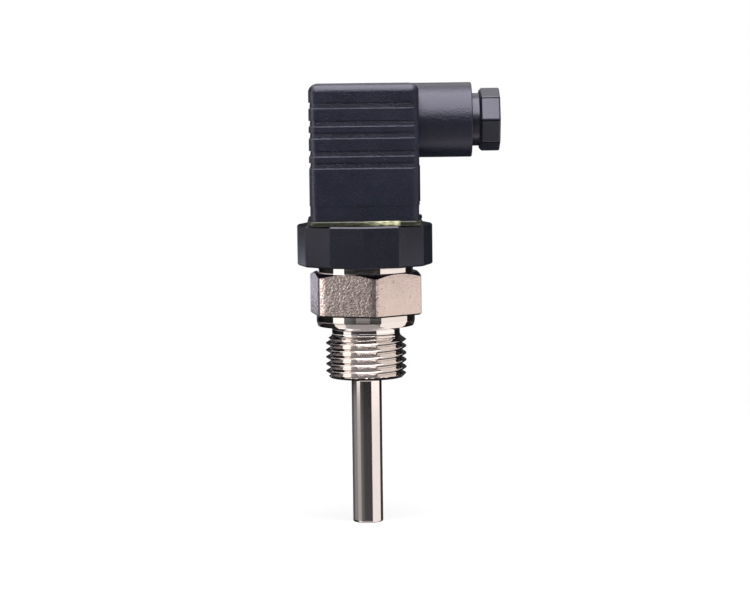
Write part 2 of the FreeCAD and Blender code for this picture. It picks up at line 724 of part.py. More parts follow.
def connector_housing():
    """One moulding: square housing with grip grooves, round cable barrel and screw column."""
    body = new_body("connector_housing", GASKET_TOP)
    foot = sketch_on(body, "XY_Plane", "Foot")
    draw_rounded_square(foot, "(housing_side - 2 * skirt_inset)", "housing_corner")
    pad(body, foot, "skirt_height")
    block = sketch_on(body, "XY_Plane", "Block", out="skirt_height")
    draw_rounded_square(block, "housing_side", "housing_corner")
    block_pad = pad(body, block, "housing_height - skirt_height")
    top = value_of("housing_height")
    top_edges = edges_of(block_pad, lambda box: near(box.ZMin, top) and near(box.ZMax, top))
    dress(body, block_pad, "Fillet", top_edges, "housing_corner")

    cut_grip_grooves(body)
    add_lever_pad(body)

    barrel = sketch_on(body, "YZ_Plane", "Barrel", out="housing_side / 2 - 2 * housing_corner")
    draw_circle(barrel, "barrel_diameter", up=BARREL_RISE)
    barrel_pad = pad(body, barrel, "barrel_reach - housing_side / 2 + 2 * housing_corner")
    reach = value_of("barrel_reach")
    rim = edges_of(barrel_pad, lambda box: near(box.XMin, reach) and near(box.XMax, reach))
    dress(body, barrel_pad, "Fillet", rim, "barrel_edge")

    hollow_housing(body)
    bore_barrel(body)


def cut_grip_grooves(body):
    """Five grooves round three sides, each with a sharp upper edge and a slanted ledge at its foot."""
    tops = [
        "groove_start",
        "groove_start + groove_wide_pitch",
        "groove_start + groove_wide_pitch + groove_narrow_pitch",
        "groove_start + 2 * groove_wide_pitch + groove_narrow_pitch",
        "groove_start + 2 * groove_wide_pitch + 2 * groove_narrow_pitch",
    ]
    for top in tops:
        level = f"(housing_height - ({top}))"
        path = sketch_on(body, "XY_Plane", "GroovePath", out=level)
        draw_groove_path(path)
        side = sketch_on(body, "YZ_Plane", "GrooveSide", out="housing_side / 2 - groove_end")
        face = "-housing_side / 2"
        draw_outline(side, [
            (f"{face} + groove_depth", level),
            (f"{face} - groove_depth", level),
            (f"{face} - groove_depth", f"{level} - groove_height - groove_depth"),
            (f"{face} + groove_ledge", f"{level} - groove_height + groove_ledge"),
        ])
        groove = body.newObject("PartDesign::SubtractivePipe", "GripGroove")
        groove.Profile = side
        groove.Spine = (path, [f"Edge{number}" for number in range(1, 6)])


def draw_groove_path(path):
    """Round three sides of the housing, with its corner radius: front, far side and back."""
    half = value_of("housing_side") / 2
    corner = value_of("housing_corner")
    start = half - value_of("groove_end")
    middle = corner - half
    flat = half - corner
    upright = FreeCAD.Vector(0, 0, 1)
    front = path.addGeometry(Part.LineSegment(
        FreeCAD.Vector(start, -half, 0), FreeCAD.Vector(middle, -half, 0)
    ))
    front_arc = path.addGeometry(Part.ArcOfCircle(
        Part.Circle(FreeCAD.Vector(middle, -flat, 0), upright, corner), math.pi, 1.5 * math.pi
    ))
    side = path.addGeometry(Part.LineSegment(
        FreeCAD.Vector(-half, -flat, 0), FreeCAD.Vector(-half, flat, 0)
    ))
    back_arc = path.addGeometry(Part.ArcOfCircle(
        Part.Circle(FreeCAD.Vector(middle, flat, 0), upright, corner), 0.5 * math.pi, math.pi
    ))
    back = path.addGeometry(Part.LineSegment(
        FreeCAD.Vector(middle, half, 0), FreeCAD.Vector(start, half, 0)
    ))
    path.addConstraint(Sketcher.Constraint("Tangent", front, 2, front_arc, 2))
    path.addConstraint(Sketcher.Constraint("Tangent", front_arc, 1, side, 1))
    path.addConstraint(Sketcher.Constraint("Tangent", side, 2, back_arc, 2))
    path.addConstraint(Sketcher.Constraint("Tangent", back_arc, 1, back, 1))
    hold(path, "DistanceX", (front_arc, 3), "housing_corner - housing_side / 2")
    hold(path, "DistanceY", (front_arc, 3), "housing_corner - housing_side / 2")
    hold(path, "DistanceX", (back_arc, 3), "housing_corner - housing_side / 2")
    hold(path, "DistanceY", (back_arc, 3), "housing_side / 2 - housing_corner")
    number = path.addConstraint(Sketcher.Constraint("Radius", front_arc, corner))
    bind(path, f"Constraints[{number}]", "housing_corner")
    path.addConstraint(Sketcher.Constraint("Equal", front_arc, back_arc))
    path.addConstraint(Sketcher.Constraint("Horizontal", front))
    hold(path, "DistanceX", (front, 1), "housing_side / 2 - groove_end")
    hold(path, "DistanceX", (back, 2), "housing_side / 2 - groove_end")


def add_lever_pad(body):
    """Raised pad under the barrel and the small lip at the foot of the same side."""
    inside = "(housing_side / 2 - housing_wall / 2)"
    raised = sketch_on(body, "YZ_Plane", "LeverPad", out=inside)
    draw_rectangle(
        raised, "lever_pad_width", "lever_pad_height", up="lever_pad_foot + lever_pad_height / 2"
    )
    pad(body, raised, "housing_wall / 2 + lever_pad_thickness")
    lip = sketch_on(body, "YZ_Plane", "LeverLip", out=inside)
    draw_rectangle(lip, "lever_lip_width", "lever_lip_height", up="lever_lip_height / 2")
    pad(body, lip, "housing_wall / 2 + lever_lip_reach")


def hollow_housing(body):
    """The chamber for the insert, the wiring space round the column, and the screw's hole."""
    chamber = sketch_on(body, "XY_Plane", "Chamber")
    draw_rounded_square(chamber, CHAMBER_SIDE, "chamber_corner")
    cut(body, chamber, "insert_height", upwards=True)
    wiring = sketch_on(body, "XY_Plane", "WiringSpace", out="insert_height")
    draw_rounded_square(wiring, CHAMBER_SIDE, "chamber_corner")
    draw_circle(wiring, "column_diameter")
    cut(body, wiring, "housing_height - housing_roof - insert_height", upwards=True)
    hole = sketch_on(body, "XZ_Plane", "ScrewHole")
    recess_floor = "(housing_height - screw_recess_depth)"
    draw_outline(hole, [
        ("0", "0"),
        ("screw_hole / 2", "0"),
        ("screw_hole / 2", recess_floor),
        ("screw_recess / 2", recess_floor),
        ("screw_recess / 2", "housing_height"),
        ("0", "housing_height"),
    ])
    revolve(body, hole, "V_Axis", "PartDesign::Groove")


def bore_barrel(body):
    """The stepped bore of the barrel: cable passage, grommet seat and the gland's thread."""
    bore = sketch_on(body, "XZ_Plane", "BarrelBore", up=BARREL_RISE)
    inside = f"({CHAMBER_SIDE} / 2 - housing_wall)"
    thread = "(gland_thread_diameter / 2 + turned_gap)"
    draw_outline(bore, [
        (inside, "0"),
        (inside, "barrel_passage / 2"),
        ("barrel_seat", "barrel_passage / 2"),
        ("barrel_seat", thread),
        ("barrel_reach", thread),
        ("barrel_reach", "0"),
    ])
    revolve(body, bore, "H_Axis", "PartDesign::Groove")


def terminal_insert():
    """Square insert with four chambers, each with a blade slot below and a wire notch above."""
    body = new_body("terminal_insert", GASKET_TOP)
    block = sketch_on(body, "XY_Plane", "Block")
    draw_rounded_square(block, INSERT_SIDE, "chamber_corner")
    draw_circle(block, "insert_hole")
    pad(body, block, "insert_height")
    chamber = sketch_on(body, "XY_Plane", "Chamber", out="insert_floor")
    draw_rectangle(
        chamber,
        "(contact_thickness + 2 * chamber_gap)",
        "(contact_width + 2 * chamber_gap)",
        right=f"{CONTACT_CIRCLE} / 2",
    )
    chamber_cut = cut(body, chamber, "insert_height - insert_floor", upwards=True)
    slot = blade_openings(body, "insert_slot_room")
    slot_cut = cut(body, slot, "insert_floor", upwards=True)
    notch = sketch_on(body, "XY_Plane", "WireNotch", out="insert_height")
    draw_rectangle(
        notch,
        "contact_thickness",
        "wire_notch_width",
        right=f"({CONTACT_CIRCLE} / 2 + contact_thickness)",
    )
    notch_cut = cut(body, notch, "wire_notch_depth")
    repeat_four_times(body, [chamber_cut, slot_cut, notch_cut])


def socket_contact(number, turn):
    """Brass contact: a slot from below for the blade and a hole from above for its clamp screw."""
    body = new_body(f"socket_contact_{number}", CONTACT_BASE, turn)
    block = sketch_on(body, "XY_Plane", "Block")
    draw_rectangle(block, "contact_thickness", "contact_width", right=f"{CONTACT_CIRCLE} / 2")
    block_pad = pad(body, block, "contact_height")
    height = value_of("contact_height")
    upright = edges_of(block_pad, lambda box: near(box.ZLength, height))
    dress(body, block_pad, "Chamfer", upright, "contact_edge")
    slot = sketch_on(body, "XY_Plane", "Slot")
    draw_rectangle(
        slot, "(blade_thickness + 2 * contact_gap)", "contact_width", right="blade_circle / 2"
    )
    cut(body, slot, "contact_slot_depth", upwards=True)
    hole = sketch_on(body, "XY_Plane", "ScrewHole", out="contact_height")
    draw_circle(hole, "clamp_screw_diameter + 2 * turned_gap", right=f"{CONTACT_CIRCLE} / 2")
    cut(body, hole, "clamp_screw_length + turned_gap")


def slotted_screw(label, name, length, level, turn=0, right="0"):
    """A slotted screw placed by the underside of its head, its other sizes found by its name."""
    shank = f"{name}_diameter / 2"
    head = f"{name}_head / 2"
    head_height = f"{name}_head_height"
    body = turned(label, [
        ("0", f"-{length}"),
        (f"{shank} - screw_tip", f"-{length}"),
        (shank, f"screw_tip - {length}"),
        (shank, "0"),
        (head, "0"),
        (head, f"{head_height} - screw_tip / 2"),
        (f"{head} - screw_tip / 2", head_height),
        ("0", head_height),
    ], level, turn, right)
    slot = sketch_on(body, "XY_Plane", "Slot", out=head_height)
    draw_rectangle(slot, "screw_slot_width", f"(2 * {name}_head)", right=right)
    cut(body, slot, f"{head_height} * screw_slot_share")


def screw_seal():
    """Rubber ring between the screw's head and the floor of its recess."""
    inner = "(fixing_screw_diameter / 2 + turned_gap)"
    turned("screw_seal", [
        (inner, "0"),
        ("seal_diameter / 2", "0"),
        ("seal_diameter / 2", "seal_thickness"),
        (inner, "seal_thickness"),
    ], RECESS_FLOOR)


# The cable gland

def cable_grommet():
    """Rubber ring that the gland nut squeezes round the cable."""
    outer = "grommet_diameter / 2"
    bore = "grommet_bore / 2"
    turned_along_gland("cable_grommet", [
        ("barrel_seat", f"{bore} + grommet_bevel"),
        ("barrel_seat", f"{outer} - grommet_bevel"),
        ("barrel_seat + grommet_bevel", outer),
        (WASHER_START, outer),
        (WASHER_START, bore),
        ("barrel_seat + grommet_bevel", bore),
    ])


def thrust_washer():
    """Thin washer between the nut and the grommet."""
    turned_along_gland("thrust_washer", [
        (WASHER_START, "washer_bore / 2"),
        (WASHER_START, "washer_diameter / 2"),
        (NUT_START, "washer_diameter / 2"),
        (NUT_START, "washer_bore / 2"),
    ])


def gland_nut():
    """Hollow nut: plain thread in the barrel, bare neck and an eight-sided head with a round rim."""
    body = new_body("gland_nut", BARREL_LEVEL)
    head = sketch_on(body, "YZ_Plane", "Head", out=NUT_HEAD_START)
    draw_polygon(head, "gland_sides", "gland_across_flats", "90")
    block = pad(body, head, "gland_head_length")
    start = value_of(NUT_HEAD_START)
    back_edges = edges_of(block, lambda box: near(box.XMin, start) and near(box.XMax, start))
    dress(body, block, "Chamfer", back_edges, "gland_head_bevel")
    corner = "gland_across_flats / 2 / cos(180 / gland_sides)"
    round_rim(body, f"({corner} + gland_rim_over)", "gland_across_flats")

    shank = sketch_on(body, "XZ_Plane", "Shank")
    thread = "gland_thread_diameter / 2"
    neck = "gland_neck_diameter / 2"
    draw_outline(shank, [
        (NUT_START, "0"),
        (NUT_START, f"{thread} - gland_thread_bevel"),
        (f"{NUT_START} + gland_thread_bevel", thread),
        (NUT_THREAD_END, thread),
        (NUT_THREAD_END, neck),
        (f"{NUT_HEAD_START} + gland_head_bevel", neck),
        (f"{NUT_HEAD_START} + gland_head_bevel", "0"),
    ])
    revolve(body, shank, "H_Axis")

    bore = sketch_on(body, "XZ_Plane", "Bore")
    draw_outline(bore, [
        (NUT_START, "0"),
        (NUT_START, "gland_bore / 2"),
        (f"{NUT_END} - gland_mouth", "gland_bore / 2"),
        (NUT_END, "gland_bore / 2 + gland_mouth"),
        (NUT_END, "0"),
    ])
    revolve(body, bore, "H_Axis", "PartDesign::Groove")


def round_rim(body, top, past_corner):
    """Cuts the outer rim of the nut's head to a quarter round that starts at the top radius."""
    sketch = sketch_on(body, "XZ_Plane", "RimRound")
    end = value_of(NUT_END)
    radius = value_of("gland_rim_round")
    across = value_of(top)
    past = value_of(past_corner)
    middle = FreeCAD.Vector(end - radius, across - radius, 0)
    circle = Part.Circle(middle, FreeCAD.Vector(0, 0, 1), radius)
    arc = sketch.addGeometry(Part.ArcOfCircle(circle, 0, math.pi / 2))
    corners = [
        FreeCAD.Vector(end - radius, across, 0),
        FreeCAD.Vector(end - radius, past, 0),
        FreeCAD.Vector(end, past, 0),
        FreeCAD.Vector(end, across - radius, 0),
    ]
    inner = sketch.addGeometry(Part.LineSegment(corners[0], corners[1]))
    outer = sketch.addGeometry(Part.LineSegment(corners[1], corners[2]))
    face = sketch.addGeometry(Part.LineSegment(corners[2], corners[3]))
    sketch.addConstraint(Sketcher.Constraint("Coincident", arc, 2, inner, 1))
    sketch.addConstraint(Sketcher.Constraint("Coincident", inner, 2, outer, 1))
    sketch.addConstraint(Sketcher.Constraint("Coincident", outer, 2, face, 1))
    sketch.addConstraint(Sketcher.Constraint("Tangent", face, 2, arc, 1))
    sketch.addConstraint(Sketcher.Constraint("Vertical", inner))
    sketch.addConstraint(Sketcher.Constraint("Horizontal", outer))
    sketch.addConstraint(Sketcher.Constraint("Vertical", face))
    hold(sketch, "DistanceX", (arc, 3), f"{NUT_END} - gland_rim_round")
    hold(sketch, "DistanceY", (arc, 3), f"{top} - gland_rim_round")
    number = sketch.addConstraint(Sketcher.Constraint("Radius", arc, radius))
    bind(sketch, f"Constraints[{number}]", "gland_rim_round")
    hold(sketch, "DistanceX", (arc, 2), f"{NUT_END} - gland_rim_round")
    hold(sketch, "DistanceY", (outer, 1), past_corner)
    revolve(body, sketch, "H_Axis", "PartDesign::Groove")


def write_parts():
    """Checks every object and writes each sub-part under its own name."""
    doc.recompute()
    failed = [thing.Name for thing in doc.Objects if {"Invalid", "Error"} & set(thing.State)]
    if failed:
        raise RuntimeError(f"these objects failed: {failed}")
    in_bodies = {
        member.Name
        for body in doc.Objects if body.isDerivedFrom("PartDesign::Body")
        for member in body.Group
    }
    os.makedirs("parts", exist_ok=True)
    for part in doc.Objects:
        if part.Name in in_bodies or not part.isDerivedFrom("Part::Feature"):
            continue
        shape = part.Shape
        if shape.isNull() or not shape.isValid() or not shape.Solids:
            raise RuntimeError(f"{part.Label} has no valid solid")
        shape.exportStep(f"parts/{part.Label}.step")
        print(f"{part.Label:22s} solids {len(shape.Solids)}  volume {shape.Volume:9.2f} mm3")


sheet = fill_sheet()

process_connection()
probe_tube()
sensing_element()
thermal_compound()
wire_insulator()
for number, turn in enumerate(QUARTER_TURNS[:3], start=1):
    lead_wire(number, turn)
neck_o_ring()

plug_head()
threaded_bush()
for number, turn in enumerate(QUARTER_TURNS[:3], start=1):
    contact_blade(f"contact_blade_{number}", turn, "blade_reach")
contact_blade("earth_blade", QUARTER_TURNS[3], "earth_reach")
head_gasket()

connector_housing()
terminal_insert()
for number, turn in enumerate(QUARTER_TURNS, start=1):
    socket_contact(number, turn)
    slotted_screw(
        f"clamp_screw_{number}", "clamp_screw", "clamp_screw_length", CONTACT_TOP, turn,
        f"{CONTACT_CIRCLE} / 2",
    )
screw_seal()
slotted_screw("fixing_screw", "fixing_screw", FIXING_SCREW_LENGTH, f"{RECESS_FLOOR} + seal_thickness")

cable_grommet()
thrust_washer()
gland_nut()

write_parts()
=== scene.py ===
import math

import bmesh
import bpy
from mathutils import Matrix, Vector


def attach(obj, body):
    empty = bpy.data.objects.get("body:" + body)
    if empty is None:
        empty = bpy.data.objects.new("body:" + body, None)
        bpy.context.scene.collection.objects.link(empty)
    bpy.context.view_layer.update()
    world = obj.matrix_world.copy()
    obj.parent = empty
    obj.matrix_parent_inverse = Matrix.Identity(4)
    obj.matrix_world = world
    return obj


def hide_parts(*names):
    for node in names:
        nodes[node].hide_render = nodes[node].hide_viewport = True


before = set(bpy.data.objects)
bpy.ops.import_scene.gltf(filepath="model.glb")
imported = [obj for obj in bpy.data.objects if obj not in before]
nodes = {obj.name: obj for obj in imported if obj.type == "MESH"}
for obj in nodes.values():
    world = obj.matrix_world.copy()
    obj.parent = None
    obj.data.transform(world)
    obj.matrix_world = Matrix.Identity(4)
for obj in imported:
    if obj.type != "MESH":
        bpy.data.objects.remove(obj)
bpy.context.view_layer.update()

# Process connection
# One bar of stainless steel, turned on the lathe: G 1/2 thread, undercut, sealing collar and a
# 27 mm hexagon with its 30 degree bevel. The connector's head is screwed onto the spigot above it.
# The thread is cut here as a true helix with rounded crests and roots.

MM = 0.001


def new_tree(name):
    """A new material: its node tree and its surface shader."""
    material = bpy.data.materials.new(name)
    material.use_nodes = True
    tree = material.node_tree
    shader = next(node for node in tree.nodes if node.type == "BSDF_PRINCIPLED")
    return material, tree, shader


def add(tree, kind, settings=None, inputs=None, links=None):
    """Adds a node: its settings, the values of its sockets, and the sockets that feed it."""
    node = tree.nodes.new(kind)
    for key, value in (settings or {}).items():
        setattr(node, key, value)
    for key, value in (inputs or {}).items():
        node.inputs[key].default_value = value
    for key, socket in (links or {}).items():
        tree.links.new(socket, node.inputs[key])
    return node


def ramp(tree, socket, *stops):
    """A colour ramp from one socket. Each stop is (position, grey) or (position, colour)."""
    node = add(tree, "ShaderNodeValToRGB", links={0: socket})
    elements = node.color_ramp.elements
    elements[0].position, elements[1].position = stops[0][0], stops[-1][0]
    for stop in stops[1:-1]:
        elements.new(stop[0])
    for element, (position, tone) in zip(elements, stops):
        element.color = (tone, tone, tone, 1) if isinstance(tone, (int, float)) else (*tone, 1)
    return node.outputs["Color"]


def level(tree, socket, low, high):
    """Spreads a socket's 0 to 1 over low to high."""
    return add(tree, "ShaderNodeMapRange", inputs={3: low, 4: high}, links={0: socket}).outputs[0]


def share_between(tree, socket, start, end):
    """0 where a socket is at start, 1 where it is at end."""
    return add(tree, "ShaderNodeMapRange", inputs={1: start, 2: end}, links={0: socket}).outputs[0]


def mix_colours(tree, share, first, second):
    """first where share is 0, second where it is 1. Each is a colour or a socket."""
    node = add(tree, "ShaderNodeMix", {"data_type": "RGBA"}, links={0: share})
    for number, tone in ((6, first), (7, second)):
        if isinstance(tone, tuple):
            node.inputs[number].default_value = (*tone, 1)
        else:
            tree.links.new(tone, node.inputs[number])
    return node.outputs[2]


def combine(tree, operation, first, second):
    """Arithmetic on two sockets or numbers."""
    node = add(tree, "ShaderNodeMath", {"operation": operation})
    for number, value in enumerate((first, second)):
        if isinstance(value, (int, float)):
            node.inputs[number].default_value = value
        else:
            tree.links.new(value, node.inputs[number])
    return node.outputs[0]


def own_place(tree, stretch=(1, 1, 1)):
    """Places on the piece itself, stretched along its axes."""
    place = add(tree, "ShaderNodeTexCoord").outputs["Object"]
    return add(tree, "ShaderNodeMapping", inputs={"Scale": stretch}, links={"Vector": place}).outputs[0]


def own_axes(tree):
    """X, Y and Z on the piece itself, each a socket."""
    return add(tree, "ShaderNodeSeparateXYZ", links={0: own_place(tree)}).outputs


def noise(tree, size, detail=2.0, stretch=(1, 1, 1), roughness=0.5, distortion=0.0):
    """Cloudy noise whose spots are about so many metres across."""
    return add(
        tree, "ShaderNodeTexNoise",
        inputs={"Scale": 1 / size, "Detail": detail, "Roughness": roughness, "Distortion": distortion},
        links={"Vector": own_place(tree, stretch)},
    ).outputs["Fac"]


def bump(tree, shader, height, depth):
    """Gives a shader the small relief of one height socket, so many metres deep."""
    node = add(tree, "ShaderNodeBump", inputs={"Distance": depth, "Strength": 1.0}, links={"Height": height})
    tree.links.new(node.outputs[0], shader.inputs["Normal"])


def new_group(name, outputs):
    """A node group with the named outputs, each a colour or a number."""
    group = bpy.data.node_groups.new(name, "ShaderNodeTree")
    for title, kind in outputs:
        group.interface.new_socket(title, in_out="OUTPUT", socket_type=kind)
    return group, group.nodes.new("NodeGroupOutput")


def use_group(tree, group):
    """Places a node group in a material and gives its outputs."""
    node = tree.nodes.new("ShaderNodeGroup")
    node.node_tree = group
    return node.outputs


def turned_marks():
    """Fine rings from the lathe tool, faint stains and hair scratches."""
    group, out = new_group(
        "TurnedMarks",
        [("Stain", "NodeSocketFloat"), ("Rings", "NodeSocketFloat"), ("Scratch", "NodeSocketFloat")],
    )
    stain = noise(group, 0.004, 4, roughness=0.6)
    rings = noise(group, 0.02, 3, (1, 1, 60), roughness=0.6)
    scratch = ramp(group, noise(group, 0.003, 2, (1, 1, 14), distortion=1.2), (0.44, 0), (0.5, 1), (0.56, 0))
    group.links.new(stain, out.inputs["Stain"])
    group.links.new(rings, out.inputs["Rings"])
    group.links.new(scratch, out.inputs["Scratch"])
    return group


TURNED = turned_marks()


def steel(name, tone, dark_tone, roughness, rings):
    """Bright turned stainless steel, its tool rings so many metres deep."""
    material, tree, shader = new_tree(name)
    marks = use_group(tree, TURNED)
    colour = mix_colours(tree, level(tree, marks["Stain"], 0, 0.55), tone, dark_tone)
    tree.links.new(colour, shader.inputs["Base Color"])
    shader.inputs["Metallic"].default_value = 1
    rough = combine(tree, "ADD", level(tree, marks["Stain"], roughness * 0.75, roughness * 1.35),
                    combine(tree, "MULTIPLY", marks["Scratch"], 0.02))
    tree.links.new(rough, shader.inputs["Roughness"])
    bump(tree, shader, marks["Rings"], rings)
    return material


SHARP_EDGE = math.radians(35)
WELD_DISTANCE = 1e-7


def make_mesh(name, points, faces):
    """A mesh object in metres from points in millimetres, smooth apart from its sharp edges."""
    mesh = bpy.data.meshes.new(name)
    mesh.from_pydata([Vector(point) * MM for point in points], [], faces)
    mesh.validate()
    work = bmesh.new()
    work.from_mesh(mesh)
    bmesh.ops.remove_doubles(work, verts=work.verts, dist=WELD_DISTANCE)
    bmesh.ops.recalc_face_normals(work, faces=work.faces)
    for face in work.faces:
        face.smooth = True
    for edge in work.edges:
        edge.smooth = len(edge.link_faces) == 2 and edge.calc_face_angle(0) < SHARP_EDGE
    work.to_mesh(mesh)
    work.free()
    piece = bpy.data.objects.new(name, mesh)
    bpy.context.scene.collection.objects.link(piece)
    return piece


def rings_of(rows, count):
    """Faces between rings of so many points each, the last ring joined back to the first."""
    faces = []
    for row in range(len(rows)):
        low = row * count
        high = (row + 1) % len(rows) * count
        for place in range(count):
            side = (place + 1) % count
            faces.append((low + place, low + side, high + side, high + place))
    return faces


def turned_piece(name, profile, angles, axis="Z", centre=(0, 0, 0)):
    """A closed ring turned round an axis. Each row of the profile is (radius, level), or a function
    of the angle that returns them."""
    points = []
    for row in profile:
        for angle in angles:
            radius, height = row(angle) if callable(row) else row
            right, up = radius * math.cos(angle), radius * math.sin(angle)
            if axis == "Z":
                point = (right, up, height)
            else:
                point = (height, right, up)
            points.append([start + part for start, part in zip(centre, point)])
    return make_mesh(name, points, rings_of(profile, len(angles)))


def finish_piece(piece, material, body, slot, *replaced):
    """Gives a piece its material and its body, and hides the solids that it stands for. The slot is not used.
    """
    piece.data.materials.append(material)
    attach(piece, body)
    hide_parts(*replaced)
    return piece


THREAD_OUTSIDE = 10.4775
THREAD_DEPTH = 1.162
THREAD_PITCH = 1.8143
THREAD_SOFTNESS = 0.14
FLANK_STEEPNESS = 1.28
CREST_LEVEL = -5.45
LOWER_END = -13.5
LOWER_BEVEL = 1.1
TUBE_SEAT = 3.975
THREAD_ROWS_TOP = -2.55
UNDERCUT_RADIUS = 8.98
SLOPE_FOOT_RADIUS = 8.8
SLOPE_FOOT = -2.5
SLOPE_STEEPNESS = 1.342
COLLAR_RADIUS = 12.75
COLLAR_TOP = 3.0
HEXAGON_TOP = 14.0
HEXAGON_FLAT = 13.5
HEXAGON_TURN = math.radians(-20.6)
HEXAGON_UNDER_BEVEL = 0.42
BEVEL_CIRCLE = 13.4
BEVEL_SLOPE = math.tan(math.radians(30))
CORNER_ROUND = 0.5
SHOULDER_ROUND = 7.0
SHOULDER_TURN = math.radians(14)
NECK_RADIUS = 12.4
NECK_TOP = 15.75
SPIGOT_RADIUS = 12.0
SPIGOT_TOP = 21.95
WIRING_BORE = 10.2
INSULATOR_BORE = 6.5


def thread_radius(angle, height):
    """Helical thread with straight flanks, rounded crests and roots."""
    turn = (height - CREST_LEVEL) / THREAD_PITCH - angle / (2 * math.pi)
    off = abs(turn - round(turn)) * 2
    shape = FLANK_STEEPNESS * (off - 0.5) + 0.5
    soft = THREAD_SOFTNESS
    if shape < soft:
        shape = max(shape + soft, 0) ** 2 / (4 * soft)
    elif shape > 1 - soft:
        shape = 1 - max(1 + soft - shape, 0) ** 2 / (4 * soft)
    return THREAD_OUTSIDE - THREAD_DEPTH * min(max(shape, 0), 1)


def arc_reach(across, out, radius, angle):
    """Where a ray at this angle leaves a circle round a point so far across and out."""
    along = across * math.sin(angle) + out * math.cos(angle)
    return along + math.sqrt(max(radius ** 2 - across ** 2 - out ** 2 + along ** 2, 0))


def hexagon_radius(angle):
    """Distance from the axis to the hexagon's side, which turns in softly before each worn corner."""
    past = abs((angle - HEXAGON_TURN) % (math.pi / 3) - math.pi / 6)
    turn_in, corner = math.sin(SHOULDER_TURN), math.cos(SHOULDER_TURN)
    out = HEXAGON_FLAT - SHOULDER_ROUND * (1 - corner) - CORNER_ROUND * (corner - math.cos(math.pi / 6))
    flat_end = out * math.tan(math.pi / 6) - SHOULDER_ROUND * turn_in - CORNER_ROUND * (0.5 - turn_in)
    shoulder_out = HEXAGON_FLAT - SHOULDER_ROUND
    if past <= math.atan2(flat_end, HEXAGON_FLAT):
        return HEXAGON_FLAT / math.cos(past)
    if past <= math.atan2(flat_end + SHOULDER_ROUND * turn_in, shoulder_out + SHOULDER_ROUND * corner):
        return arc_reach(flat_end, shoulder_out, SHOULDER_ROUND, past)
    inner = SHOULDER_ROUND - CORNER_ROUND
    return arc_reach(flat_end + inner * turn_in, shoulder_out + inner * corner, CORNER_ROUND, past)


def connection_angles():
    """Evenly spaced angles, closer together round the hexagon's six corners."""
    angles = {round(2 * math.pi * step / 216, 6) for step in range(216)}
    for corner in range(6):
        middle = HEXAGON_TURN + corner * math.pi / 3
        for step in range(-16, 17):
            angles.add(round((middle + step * math.radians(0.42)) % (2 * math.pi), 6))
    return sorted(angles)


def rounded(centre_out, centre_up, radius, start, end, steps):
    """Points of an arc in the section, from one angle to another in degrees."""
    points = []
    for step in range(steps + 1):
        angle = math.radians(start + (end - start) * step / steps)
        points.append((centre_out + radius * math.cos(angle), centre_up + radius * math.sin(angle)))
    return points


def lower_radius(angle, height):
    """The outside from the lower end to the undercut: end bevel, thread, and the slope behind it."""
    end_bevel = THREAD_OUTSIDE - LOWER_BEVEL + height - LOWER_END
    slope = max(UNDERCUT_RADIUS, SLOPE_FOOT_RADIUS + (SLOPE_FOOT - height) * SLOPE_STEEPNESS)
    return min(thread_radius(angle, height), end_bevel, slope)


def side_level(angle, share):
    """A level on the hexagon's side, from its under bevel, 0, to the edge of its top bevel, 1."""
    drop = (hexagon_radius(angle) - BEVEL_CIRCLE) * BEVEL_SLOPE
    bottom = COLLAR_TOP + HEXAGON_UNDER_BEVEL
    return bottom + share * (HEXAGON_TOP - HEXAGON_UNDER_BEVEL - COLLAR_TOP - drop)


def connection_profile():
    """Rows from the probe's hole in the lower end up the outside to the spigot."""
    rows = [(TUBE_SEAT, -9.0), (TUBE_SEAT, LOWER_END), (6.0, LOWER_END), (9.0, LOWER_END)]
    steps = 150
    for step in range(steps + 1):
        height = LOWER_END + (THREAD_ROWS_TOP - LOWER_END) * step / steps
        rows.append(lambda angle, height=height: (lower_radius(angle, height), height))
    rows += rounded(9.6, -1.9, 0.8, 220, 180, 5)
    rows += rounded(9.75, -0.95, 0.95, 180, 90, 10)
    rows += rounded(12.29, 0.12, 0.12, -90, -25, 3)
    rows += [(12.53, 0.4), (12.60, 0.65), (12.67, 0.95), (12.72, 1.2), (COLLAR_RADIUS, 1.4),
             (COLLAR_RADIUS, 1.5), (COLLAR_RADIUS, COLLAR_TOP), (12.9, COLLAR_TOP)]
    rows += [
        lambda angle: (hexagon_radius(angle) - HEXAGON_UNDER_BEVEL, COLLAR_TOP),
        lambda angle: (hexagon_radius(angle), COLLAR_TOP + HEXAGON_UNDER_BEVEL),
    ]
    for share in (0.2, 0.4, 0.6, 0.8, 1.0):
        rows.append(lambda angle, share=share: (hexagon_radius(angle), side_level(angle, share)))
    rows += [
        lambda angle: (hexagon_radius(angle) * 0.5 + BEVEL_CIRCLE * 0.5,
                       HEXAGON_TOP - (hexagon_radius(angle) - BEVEL_CIRCLE) * 0.5 * BEVEL_SLOPE),
        (13.38, HEXAGON_TOP - 0.01), (13.25, HEXAGON_TOP), (NECK_RADIUS, HEXAGON_TOP),
        (NECK_RADIUS, NECK_TOP), (SPIGOT_RADIUS, NECK_TOP), (SPIGOT_RADIUS, 21.35), (11.4, SPIGOT_TOP),
        (WIRING_BORE, SPIGOT_TOP), (WIRING_BORE, 8.55), (INSULATOR_BORE, 4.85), (INSULATOR_BORE, 2.0),
        (TUBE_SEAT, 2.0),
    ]
    return rows


SMOOTH_SIDE_START, SMOOTH_SIDE_END = 0.0026, 0.0034
FLECK_TONE = (0.86, 0.76, 0.72)
SPOT_TONE = (0.18, 0.13, 0.11)
FLAT_INNER_EDGE = 13.45


